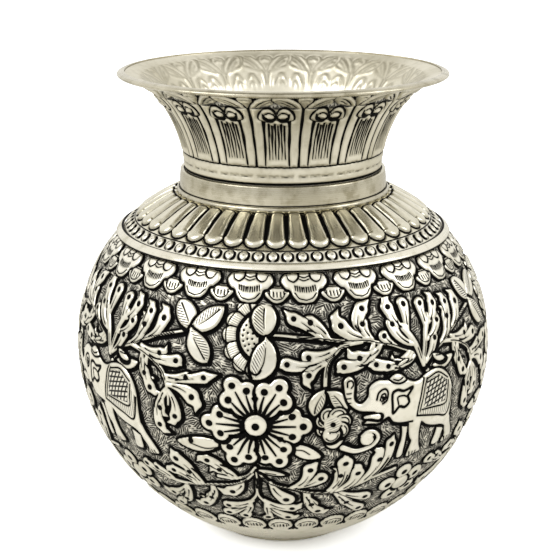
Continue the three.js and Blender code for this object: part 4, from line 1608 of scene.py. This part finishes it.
class Shader(Nodes):
    """A material's node tree."""

    def __init__(self, name: str) -> None:
        """Starts a material with an empty tree."""
        self.material = bpy.data.materials.new(name)
        self.material.use_nodes = True
        super().__init__(self.material.node_tree)

    def note(self, note: Note) -> bpy.types.Node:
        """Reads one of the bench's notes."""
        return self.node("ShaderNodeAttribute", attribute_name=note.value)

    def product(self, *values: object) -> Socket:
        """Multiplies numbers."""
        return self.math("MULTIPLY", *values)

    def most(self, *values: object) -> Socket:
        """The greater of two numbers."""
        return self.math("MAXIMUM", *values)

    def off_middle(self, phase: Socket) -> Socket:
        """How far phase is from the middle of its whole step."""
        return self.math("ABSOLUTE", self.math("SUBTRACT", self.math("FRACT", phase), 0.5))

    def ramp(self, value: Socket, low: float, high: float, start: float = 0.0, end: float = 1.0) -> Socket:
        """Maps low..high to start..end and holds it there."""
        inputs = {"Value": value, "From Min": low, "From Max": high, "To Min": start, "To Max": end}
        return self.node("ShaderNodeMapRange", inputs).outputs[0]

    def mix(self, share: object, a: object, b: object) -> Socket:
        """Mixes two colours."""
        return self.node("ShaderNodeMix", {0: share, 6: a, 7: b}, data_type="RGBA").outputs[2]

    def blend(self, share: object, a: object, b: object) -> Socket:
        """Mixes two numbers."""
        return self.node("ShaderNodeMix", {0: share, 2: a, 3: b}).outputs[0]

    def noise(self, place: Socket, scale: float, detail: float) -> Socket:
        """Smooth noise."""
        return self.node("ShaderNodeTexNoise", {"Vector": place, "Scale": scale, "Detail": detail}).outputs[0]

    def strokes(self, away: Socket, half: float, soft: float) -> Socket:
        """Strokes of a half width, with soft sides, about the middle that away is counted from."""
        return self.ramp(away, half + soft, half - soft)

    def finish(self, surface: Socket) -> bpy.types.Material:
        """Ends the tree."""
        self.node("ShaderNodeOutputMaterial", {"Surface": surface})
        return self.material

    def metal(self, colour: Socket, dull: Socket, rough: Socket, bump: bpy.types.Node) -> bpy.types.Material:
        """Ends the tree with a metal.

        Args:
            colour: Its colour.
            dull: Where it isn't bare metal, from 0 to 1.
            rough: Its roughness.
            bump: Its bump.

        Returns:
            The material.
        """
        return self.finish(self.node("ShaderNodeBsdfPrincipled", {
            "Base Color": colour, "Metallic": self.math("SUBTRACT", 1.0, dull), "Roughness": rough,
            "Normal": bump.outputs[0], "Specular IOR Level": 0.05,
        }).outputs[0])


@dataclass(frozen=True)
class ChasedSilver:
    """Chased silver, blackened in its lines, with painted shade and tarnish beside them, and hatched on its sunk
    ground.

    Attributes:
        name: Name of the material.
        metal: Colour of the clean metal.
        tarnish: Colour of the metal under a thin, warm tarnish, which also colours the painted shade beside its lines.
        lit_ground: Colour of the ground between its strokes.
        patina: Colour of the blackening.
        roughness: Roughness of the clean metal.
        cell: Width of a patch of ground strokes that run one way, in mm.
        pitch: Distance from one ground stroke to the next, in mm.
        ruled: Half width of a ground stroke, as a share of the pitch.
        fine: Half width of a figure's fine stroke, as a share of its pitch.
        line_edge: Distances from a blackened line, in mm, at which its black starts and is full.
        shadow: How far the painted shade and tarnish beside a line reach, in mm.
        ground_edge: Distance, in mm, over which figure turns to ground, to both sides of its edge.
    """

    name: str = "chased_silver"
    metal: Colour = (0.94, 0.915, 0.82, 1)
    tarnish: Colour = (0.6, 0.57, 0.45, 1)
    lit_ground: Colour = (0.84, 0.81, 0.71, 1)
    patina: Colour = (0.0012, 0.0011, 0.0009, 1)
    roughness: float = 0.27
    cell: float = 2.8
    pitch: float = 0.62
    ruled: float = 0.4
    fine: float = 0.19
    line_edge: tuple[float, float] = (0.065, -0.015)
    shadow: float = 0.42
    ground_edge: float = 0.05

    def hatch(self, shader: Shader) -> Socket:
        """The graver's strokes over the ground, in patches that each run their own way; near a figure they grow wider
        and unbroken, which is partly heavier work and partly painted shade.
        """
        chart = shader.note(Note.CHART).outputs["Vector"]
        patch = shader.node("ShaderNodeTexVoronoi", {"Vector": chart, "Scale": 1 / self.cell}, voronoi_dimensions="2D")
        way = shader.node("ShaderNodeSeparateXYZ", {0: patch.outputs["Color"]})
        angle = shader.product(way.outputs[0], math.pi)
        turned = shader.node("ShaderNodeVectorRotate", {"Vector": chart, "Angle": angle}, rotation_type="Z_AXIS")
        across = shader.node("ShaderNodeSeparateXYZ", {0: turned.outputs[0]}).outputs
        waver = shader.noise(chart, 0.9, 2.0)
        phase = shader.math("ADD", shader.math("DIVIDE", across[0], self.pitch), shader.product(waver, 0.6))
        long = shader.node("ShaderNodeCombineXYZ", {0: shader.product(across[0], 1 / self.pitch),
                                                   1: shader.product(across[1], 0.55)})
        broken = shader.ramp(shader.noise(long.outputs[0], 1.0, 1.0), 0.34, 0.46)
        # Near a figure the strokes grow wider and unbroken: partly heavier work, partly painted shade at the figure's
        # foot.
        beside = shader.ramp(shader.note(Note.GROUND).outputs["Fac"], -1.5, -0.3, 0.0, 0.14)
        stroke = shader.strokes(shader.math("SUBTRACT", shader.off_middle(phase), beside), self.ruled, 0.07)
        return shader.product(stroke, shader.most(broken, shader.product(beside, 6.0)))

    def material(self) -> bpy.types.Material:
        """Builds the material.

        Returns:
            The material.
        """
        shader = Shader(self.name)
        ink = shader.note(Note.INK).outputs["Fac"]
        place = shader.node("ShaderNodeTexCoord").outputs["Object"]
        black = shader.ramp(ink, *self.line_edge)
        # Painted shade, with tarnish, beside each blackened line.
        shadow = shader.ramp(ink, self.shadow, 0.0, 0.0, 0.5)
        sunk = shader.ramp(shader.note(Note.GROUND).outputs["Fac"], self.ground_edge, -self.ground_edge)
        drawn = shader.node("ShaderNodeSeparateXYZ", {0: shader.note(Note.STROKES).outputs["Vector"]}).outputs
        ruled = shader.most(*(shader.strokes(shader.off_middle(drawn[i]), self.fine, 0.09) for i in (0, 1)))
        fine = shader.product(ruled, drawn[2])
        cloud = shader.ramp(shader.noise(place, 55.0, 4.0), 0.42, 0.72)
        mottle = shader.ramp(shader.noise(place, 420.0, 5.0), 0.5, 0.72)
        stain = shader.math("ADD", shader.product(cloud, 0.5), shader.product(mottle, 0.35))
        clean = shader.mix(stain, self.metal, self.tarnish)
        # The painted shade and tarnish beside the lines, then a little patina there.
        clean = shader.mix(shadow, clean, self.tarnish)
        clean = shader.mix(shader.product(shadow, 0.35), clean, self.patina)
        clean = shader.mix(fine, clean, self.patina)
        strokes = self.hatch(shader)
        ground = shader.mix(shader.product(strokes, 0.95), self.lit_ground, self.patina)
        colour = shader.mix(black, shader.mix(sunk, clean, ground), self.patina)
        dull = shader.most(black, shader.product(sunk, shader.product(strokes, 0.8)))
        scratch = shader.noise(place, 900.0, 2.0)
        rough = shader.math("ADD", shader.blend(sunk, self.roughness, 0.5), shader.ramp(cloud, 0, 1, 0, 0.08))
        rough = shader.blend(dull, rough, 0.6)
        cut = shader.product(shader.most(shader.product(strokes, sunk), fine), -0.08)
        height = shader.math("ADD", cut, shader.product(scratch, 0.012))
        bump = shader.node("ShaderNodeBump", {"Height": height, "Distance": MM, "Strength": 1.0})
        return shader.metal(colour, dull, rough, bump)


@dataclass(frozen=True)
class PolishedSilver:
    """Smooth silver with the fine marks of burnishing, blackened where it meets its neighbour.

    Attributes:
        name: Name of the material.
        metal: Colour of the clean metal.
        tarnish: Colour of the metal under a thin, warm tarnish.
        patina: Colour of the blackening.
        roughness: Roughness of the clean metal.
        marks: Marks in one mm up the piece.
    """

    name: str = "polished_silver"
    metal: Colour = (0.84, 0.81, 0.71, 1)
    tarnish: Colour = (0.55, 0.52, 0.4, 1)
    patina: Colour = (0.0012, 0.0011, 0.0009, 1)
    roughness: float = 0.2
    marks: float = 1.6

    def material(self) -> bpy.types.Material:
        """Builds the material.

        Returns:
            The material.
        """
        shader = Shader(self.name)
        place = shader.node("ShaderNodeTexCoord").outputs["Object"]
        black = shader.ramp(shader.note(Note.INK).outputs["Fac"], 0.05, -0.05)
        chart = shader.note(Note.CHART).outputs["Vector"]
        long = shader.node("ShaderNodeVectorMath", {0: chart, 1: (0.05, self.marks, 0)}, operation="MULTIPLY")
        burnish = shader.noise(long.outputs[0], 2.0, 4.0)
        cloud = shader.ramp(shader.noise(place, 70.0, 3.0), 0.42, 0.7)
        drag = shader.math("ADD", shader.noise(place, 300.0, 5.0), shader.product(burnish, 0.35))
        drag = shader.ramp(drag, 0.66, 0.85)
        stain = shader.math("ADD", shader.product(cloud, 0.45), shader.product(drag, 0.5))
        clean = shader.mix(stain, self.metal, self.tarnish)
        colour = shader.mix(black, clean, self.patina)
        rough = shader.math("ADD", shader.ramp(burnish, 0.3, 0.7, self.roughness - 0.03, self.roughness + 0.09),
                            shader.product(black, 0.35))
        bump = shader.node("ShaderNodeBump", {"Height": burnish, "Distance": 0.03 * MM, "Strength": 0.8})
        return shader.metal(colour, black, rough, bump)


class Finish(Enum):
    """The pot's finishes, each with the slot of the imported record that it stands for."""

    CHASED = ("chased_silver", ChasedSilver())
    # A darker, warmer copy of the chased silver, as painted shade over the neck.
    NECK = ("chased_silver", ChasedSilver("chased_neck_silver", (0.78, 0.745, 0.63, 1), (0.46, 0.425, 0.31, 1),
                                          roughness=0.36))
    # A darker copy of the chased silver: painted shade on the gadroons.
    SHOULDER = ("chased_silver", ChasedSilver("chased_shoulder_silver", (0.78, 0.75, 0.635, 1), (0.42, 0.39, 0.28, 1),
                                              roughness=0.2))
    POLISHED = ("polished_silver", PolishedSilver())
    # A darker copy of the polished silver: painted shade on the collar, its wire and the rim wire.
    COLLAR = ("polished_silver", PolishedSilver("shaded_collar_silver", (0.62, 0.585, 0.475, 1), (0.3, 0.27, 0.18, 1)))


class Silversmith:
    """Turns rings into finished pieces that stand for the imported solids."""

    def __init__(self) -> None:
        """Makes the finishes and the node tree that all pieces share."""
        self.round = CarryRound()
        self.materials = {finish: finish.value[1].material() for finish in Finish}

    def make(self, ring: Ring, node: str, finish: Finish) -> bpy.types.Object:
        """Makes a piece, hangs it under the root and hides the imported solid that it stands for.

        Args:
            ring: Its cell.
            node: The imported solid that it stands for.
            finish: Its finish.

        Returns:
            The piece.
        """
        piece = self.round.piece(ring, self.materials[finish])
        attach(piece, "root")
        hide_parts(node)
        LOG.info("%s: %d faces", piece.name, len(piece.data.polygons))
        return piece


@dataclass
class Sheet:
    """The raised sheet of bowl and shoulder.

    Attributes:
        lines: The pot's outlines.
        wall: Its thickness, in mm.
        sunk: Depth of the untouched sheet under the pot's line.
        lining: Rows on the inner face of each ring.
    """

    lines: PotLines = PotLines()
    wall: float = 1.2
    sunk: float = 0.74
    lining: int = 3

    def ring(self, name: str, pattern: Pattern, abreast: int, bench: Bench, rows: range, depth: float = 0.16,
             past: float = 0.0) -> Ring:
        """A closed ring of sheet with a chased outer face.

        Args:
            name: Name of the piece.
            pattern: What is chased on it.
            abreast: Cells side by side in its unwrapped map.
            bench: The bench that holds the pattern.
            rows: Which of its rows.
            depth: How deep the blackened lines are sunk, in mm.
            past: How far the inner face runs on past the upper edge.

        Returns:
            The ring.
        """
        ring = Ring(name, bench.turns, pattern.repeats, abreast)
        ring.worked(bench, rows, self.sunk, depth)
        lower, upper = bench.arcs[rows[-1]], bench.arcs[rows[0]] - past
        for arc in np.linspace(lower, upper, self.lining + 1):
            ring.row(*bench.turned.offset(arc, -self.wall - self.sunk), arc in (lower, upper))
        return ring


@dataclass
class Body(Sheet):
    """The bowl: four tiers of frieze between two borders, and a plain floor.

    Attributes:
        skin: How far the plain floor's outer face lies under the pot's line.
    """

    skin: float = 0.12

    def build(self, smith: Silversmith) -> None:
        """Makes the bowl's pieces, from the top down."""
        border, frieze, lower = ScallopBorder(), Frieze(), LowerBorder()
        step = frieze.rows // frieze.tiers
        for pattern, abreast, pieces in (
            (border, 4, [("scallop_border", 0, border.rows)]),
            (frieze, 1, [(f"frieze_tier_{tier + 1}", step * tier, step) for tier in range(frieze.tiers)]),
            (lower, 6, [("lower_border", 0, lower.rows)]),
        ):
            bench = pattern.bench(self.lines)
            for name, first, count in pieces:
                ring = self.ring(name, pattern, abreast, bench, range(first, first + count + 1))
                smith.make(ring, "bowl", Finish.CHASED)
        smith.make(self.floor(lower.bottom), "bowl", Finish.CHASED)

    def floor(self, top: float) -> Ring:
        """The plain round bottom of the bowl, closed at both poles.

        Args:
            top: Arc length at its upper edge.

        Returns:
            The ring.
        """
        line = self.lines.body()
        ring = Ring("bowl_floor", np.linspace(0, 10, 7), 36, 6, True)
        edge = float(np.interp(-self.lines.floor - 0.001, -line.height, line.arc))
        inner = self.lines.floor + self.wall
        for radius in (0.0, 6.0, 12.0, 17.0):
            ring.row(radius, inner)
        for arc in np.linspace(edge, top, 8):
            radius, height = line.offset(arc, -self.wall - self.sunk)
            ring.row(radius - (0.5 if arc == edge else 0), max(height, inner), arc == top)
        for arc in np.linspace(top, edge, 30):
            radius, height = line.offset(arc, -self.skin)
            ring.row(radius, max(height, self.lines.floor), arc == top, fine=True)
        for radius in (16.0, 10.0, 5.0, 0.0):
            ring.row(radius, self.lines.floor, radius == 16.0)
        return ring


@dataclass
class Shoulder(Sheet):
    """The shoulder: a row of beads and a ring of gadroons that rise to the collar.

    Attributes:
        ledge: Height of the ledge for the wire, in mm.
        stub: Height of the stub's top.
    """

    sunk: float = 0.1
    ledge: float = 94.05
    stub: float = 97.2

    def chased(self, name: str, pattern: Pattern, abreast: int, depth: float, past: float = 0.0) -> Ring:
        """A ring that holds a whole pattern."""
        bench = pattern.bench(self.lines)
        return self.ring(name, pattern, abreast, bench, range(pattern.rows + 1), depth, past)

    def build(self, smith: Silversmith) -> None:
        """Makes the beads, then the gadroons with the ledge and stub over them."""
        smith.make(self.chased("bead_row", BeadRow(), 9, 0.12), "shoulder", Finish.CHASED)
        ring = self.chased("gadroons", Gadroons(), 8, 0.2, 1.5)
        outer = self.lines.neck_radius
        bore = outer - self.wall
        for place in ((bore, self.ledge - self.wall), (bore, self.stub), (outer, self.stub), (outer, self.ledge)):
            ring.row(*place, True)
        smith.make(ring, "shoulder", Finish.SHOULDER)


@dataclass
class Neck:
    """The flared neck, chased outside, with the soft print of the work inside and painted shade along that print.

    Attributes:
        lines: The pot's outlines.
        wall: Thickness of the sheet, in mm.
        inner_rows: Rows on the inner face where the print shows.
        print_from: Arc length at which the inner print starts.
        print_to: Arc length at which it ends.
        print_drop: How far it lies below the work outside, along the flare.
        print_depth: Its depth.
        sunk: Depth of the untouched sheet outside, under the pot's line.
    """

    lines: PotLines = PotLines()
    wall: float = 1.2
    inner_rows: int = 30
    print_from: float = 16.0
    print_to: float = 28.2
    print_drop: float = 1.3
    print_depth: float = 0.3
    sunk: float = 0.22

    def build(self, smith: Silversmith) -> None:
        """Makes the neck."""
        panels = NeckPanels()
        bench, printed = panels.bench(self.lines), panels.inner_print(self.lines)
        ring = Ring("chased_neck", bench.turns, panels.repeats, 4)
        foot = float(bench.turned.height[0])
        ring.row(self.lines.neck_radius, foot, True)
        ring.worked(bench, range(len(bench.arcs)), self.sunk, 0.2)
        ring.sharp[1] = False
        ring.row(self.lines.lip_radius, self.lines.flare_end + self.wall, True)
        lip = np.linspace(bench.turned.arc[-1] - 0.4, self.print_to + 0.6, 4)
        fine = np.linspace(self.print_to, self.print_from, self.inner_rows)
        for arc in (*lip, *fine, *np.linspace(self.print_from - 1.2, -2.0, 12)):
            ink = np.array([np.interp(arc + self.print_drop, printed.arcs, column) for column in printed.ink.T])
            soft = np.clip((ink + 0.15) / 0.8, 0, 1)
            window = np.clip((arc - self.print_from) / 2, 0, 1) * np.clip((self.print_to - arc) / 1.2, 0, 1)
            depth = self.wall + self.print_depth * (1 - eased(soft)) * window
            # On the inner face the ink note paints shade along the print's sunk lines, mixing in tarnish colour and a
            # little black.
            ink = np.where(window > 0, 0.05 + 0.6 * soft + (1 - window), FAR)
            ring.row(*bench.turned.offset(arc, -depth), ink=ink, fine=True)
        ring.row(self.lines.neck_radius - self.wall, foot, True)
        smith.make(ring, "neck", Finish.NECK)


@dataclass
class Fittings:
    """The plain turned parts: band, wires, collar and base. Each method makes the ring of one of them.

    Attributes:
        lines: The pot's outlines.
        cells: Cells in each ring.
        steps: Columns in a cell.
        gap: Width of the soldered gap between two parts, in mm.
        edge: Radius of a rounded edge.
        band: Height of the middle of the plain band, half its height, and how far it stands off the body.
        wire: Heights of the foot and top of the collar's wire, and its outer radius.
        collar: Heights of the foot and top of the collar, and its radii there.
        rim: Outer radius of the wire round the lip, height of its top, and half its height.
        base: Radius and thickness of the disc that the pot stands on.
    """

    lines: PotLines = PotLines()
    cells: int = 36
    steps: int = 10
    gap: float = 0.1
    edge: float = 0.3
    band: tuple[float, float, float] = (84.4, 0.9, 0.5)
    wire: tuple[float, float, float] = (94.05, 95.7, 28.5)
    collar: tuple[float, float, float, float] = (95.7, 100.6, 27.6, 27.4)
    rim: tuple[float, float, float] = (43.5, 126.6, 0.8)
    base: tuple[float, float] = (20.4, 1.2)

    def ring(self, name: str, open_ends: bool = False) -> Ring:
        """Starts a turned piece."""
        return Ring(name, np.linspace(0, 360 / self.cells, self.steps + 1), self.cells, 6, open_ends)

    def build(self, smith: Silversmith) -> None:
        """Makes all the plain parts."""
        for made, node, finish in (
            (self.seam_band(), "seam_band", Finish.POLISHED), (self.collar_wire(), "collar_wire", Finish.COLLAR),
            (self.collar_band(), "collar_band", Finish.COLLAR), (self.rim_wire(), "rim_wire", Finish.COLLAR),
            (self.base_disc(), "base_disc", Finish.POLISHED),
        ):
            smith.make(made, node, finish)

    def seam_band(self) -> Ring:
        """The plain band over the joint."""
        ring = self.ring("polished_seam_band")
        middle, half, proud = self.band
        for share in np.linspace(1, -1, 17):
            height = middle + share * half
            rise = proud * (1 - abs(share) ** 3.5) ** 0.5 + self.gap
            ink = (1 - abs(share)) * half * 1.4 - 0.3
            ring.row(self.seat(height) + rise * 1.1, height + rise * 0.75, False, ink, True)
        for height in (middle - half, middle, middle + half):
            ring.row(self.seat(height), height, True)
        return ring

    def seat(self, height: float) -> float:
        """Radius at which a part sits on the body at a height."""
        return float(self.lines.body_radius_at(np.array(height))) + self.gap

    def collar_wire(self) -> Ring:
        """The half-round wire at the collar's foot."""
        ring = self.ring("polished_collar_wire")
        bore = self.lines.neck_radius + self.gap
        foot, top, radius = self.wire
        half = (top - foot) / 2
        ring.row(bore, foot, True)
        for way in np.radians(np.linspace(-90, 90, 17)):
            ink = half * (1 - abs(math.sin(way))) - 0.06
            ring.row(radius - half * (1 - math.cos(way)), foot + half * (1 + math.sin(way)), False, ink, True)
        ring.row(bore, top, True)
        return ring

    def collar_band(self) -> Ring:
        """The plain collar that sleeves the joint of neck and shoulder."""
        ring = self.ring("polished_collar_band")
        bore = self.lines.neck_radius + self.gap
        foot, top, low, high = self.collar
        ring.row(bore, foot, True)
        for share in np.linspace(0, 1, 14):
            swell = 0.12 * math.sin(math.pi * share)
            ring.row(low + (high - low) * share + swell, foot + (top - self.edge - foot) * share, share == 0,
                     share * (top - foot) - 0.22, True)
        for way in np.radians((30, 60, 90)):
            ring.row(high - self.edge * (1 - math.cos(way)), top - self.edge * (1 - math.sin(way)), fine=True)
        ring.row(self.lines.neck_radius + 0.7, top, False, 0.3)
        ring.row(bore, top, True, -0.3)
        return ring

    def rim_wire(self) -> Ring:
        """The half-round wire round the lip."""
        ring = self.ring("polished_rim_wire")
        flat = self.lines.lip_radius + self.gap
        radius, top, half = self.rim
        for angle in np.linspace(-90, 90, 21):
            way = math.radians(angle)
            ring.row(flat + (radius - flat) * math.cos(way), top - half * (1 - math.sin(way)), abs(angle) == 90,
                     fine=True)
        return ring

    def base_disc(self) -> Ring:
        """The disc that the pot stands on."""
        ring = self.ring("polished_base_disc", True)
        radius, thick = self.base
        for place in (0.0, 7.0, 14.0, radius - 2 * self.edge):
            ring.row(place, 0.0, fine=True)
        for way in np.radians((0, 30, 60, 90)):
            ring.row(radius - self.edge * (1 - math.sin(way)), self.edge * (1 - math.cos(way)), fine=True)
        ring.row(radius, thick, True)
        for place in (10.0, 0.0):
            ring.row(place, thick)
        return ring


@dataclass
class Studio:
    """A white table in soft light, and the camera.

    Attributes:
        camera_at: Place of the camera, in mm.
        pitch: How far it looks down, in degrees.
        lens: Its focal length on a 36 mm sensor, in mm.
        floor_radius: Radius of the table, in m.
        floor_under: How far the table lies under the pot, in m.
        dark_end: The way to the room's dark end, which lies above and behind the pot.
        sky: Brightness and colour of the room, from the end opposite that to the dark end.
        table_lit: Colour by which the table lights the pot.
        table_seen: Colour in which the camera sees it.
    """

    camera_at: tuple[float, ...] = (-0.79, -362.8, 174.4)
    pitch: float = 16.25
    lens: float = 88.5
    floor_radius: float = 6.0
    floor_under: float = 0.00003
    dark_end: tuple[float, ...] = (0.0, 0.35, 0.937)
    sky: tuple[tuple[float, Colour], ...] = (
        (0.0, (0.62, 0.61, 0.57, 1)), (0.4, (0.74, 0.73, 0.7, 1)), (0.6, (0.98, 0.97, 0.93, 1)),
        (0.92, (1.05, 1.03, 0.98, 1)), (0.965, (0.82, 0.8, 0.74, 1)), (0.985, (0.32, 0.3, 0.235, 1)),
        (1.0, (0.2, 0.185, 0.14, 1)),
    )
    table_lit: Colour = (0.8, 0.79, 0.76, 1)
    table_seen: Colour = (1.75, 1.8, 1.96, 1)

    def build(self) -> None:
        """Sets up camera, room, lamps and table."""
        scene = bpy.context.scene
        camera = bpy.data.objects.new("camera", bpy.data.cameras.new("camera"))
        camera.location = [c * MM for c in self.camera_at]
        camera.rotation_euler = (math.radians(90 - self.pitch), 0, 0)
        camera.data.lens = self.lens
        camera.data.sensor_width = 36
        camera.data.clip_start, camera.data.clip_end = 0.01, 50
        scene.collection.objects.link(camera)
        scene.camera = camera
        scene.view_settings.view_transform = "Standard"
        self.room(scene)
        self.lamps(scene)
        self.table(scene)

    def room(self, scene: bpy.types.Scene) -> None:
        """Lights the room, all round the way to its dark end."""
        world = bpy.data.worlds.new("room")
        scene.world = world
        world.use_nodes = True
        tree = Nodes(world.node_tree)
        way = tree.node("ShaderNodeTexCoord").outputs["Generated"]
        up = tree.node("ShaderNodeVectorMath", {0: way, 1: self.dark_end}, operation="DOT_PRODUCT")
        share = tree.node("ShaderNodeMapRange", {"Value": up.outputs["Value"], "From Min": -1})
        ramp = tree.node("ShaderNodeValToRGB", {0: share.outputs[0]})
        stops = ramp.color_ramp.elements
        while len(stops) < len(self.sky):
            stops.new(0.5)
        for stop, (place, colour) in zip(stops, self.sky):
            stop.position, stop.color = place, colour
        light = tree.node("ShaderNodeBackground", {0: ramp.outputs[0]})
        tree.node("ShaderNodeOutputWorld", {0: light.outputs[0]})

    @staticmethod
    def lamps(scene: bpy.types.Scene) -> None:
        """Hangs two soft boxes."""
        for name, place, turn, size, power in (
            ("key", (-0.55, -0.35, 0.6), (52, 0, -57), 0.5, 2.6),
            ("fill", (0.6, -0.2, 0.45), (58, 0, 70), 0.4, 1.2),
        ):
            lamp = bpy.data.objects.new(name, bpy.data.lights.new(name, "AREA"))
            lamp.location = place
            lamp.rotation_euler = [math.radians(a) for a in turn]
            lamp.data.size = size
            lamp.data.energy = power
            scene.collection.objects.link(lamp)

    def table(self, scene: bpy.types.Scene) -> None:
        """Lays the white table, which keeps a faint shadow."""
        around = np.linspace(0, math.tau, 64, endpoint=False)
        points = [(self.floor_radius * math.cos(a), self.floor_radius * math.sin(a), -self.floor_under) for a in around]
        mesh = bpy.data.meshes.new("table")
        mesh.from_pydata(points, [], [list(range(len(points)))])
        table = bpy.data.objects.new("table", mesh)
        scene.collection.objects.link(table)
        shader = Shader("table")
        seen = shader.node("ShaderNodeLightPath").outputs["Is Camera Ray"]
        lit, bright = (shader.node("ShaderNodeBsdfDiffuse", {"Color": colour}).outputs[0]
                       for colour in (self.table_lit, self.table_seen))
        both = shader.node("ShaderNodeMixShader", {0: seen, 1: lit, 2: bright})
        mesh.materials.append(shader.finish(both.outputs[0]))


def main() -> None:
    """Loads the frame, dresses the pot and sets the studio."""
    logging.basicConfig(level=logging.INFO, format="%(name)s: %(message)s")
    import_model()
    smith = Silversmith()
    for assembly in (Fittings(), Neck(), Shoulder(), Body()):
        LOG.info(type(assembly).__name__.lower())
        assembly.build(smith)
    Studio().build()


if __name__ == "__main__":
    main()
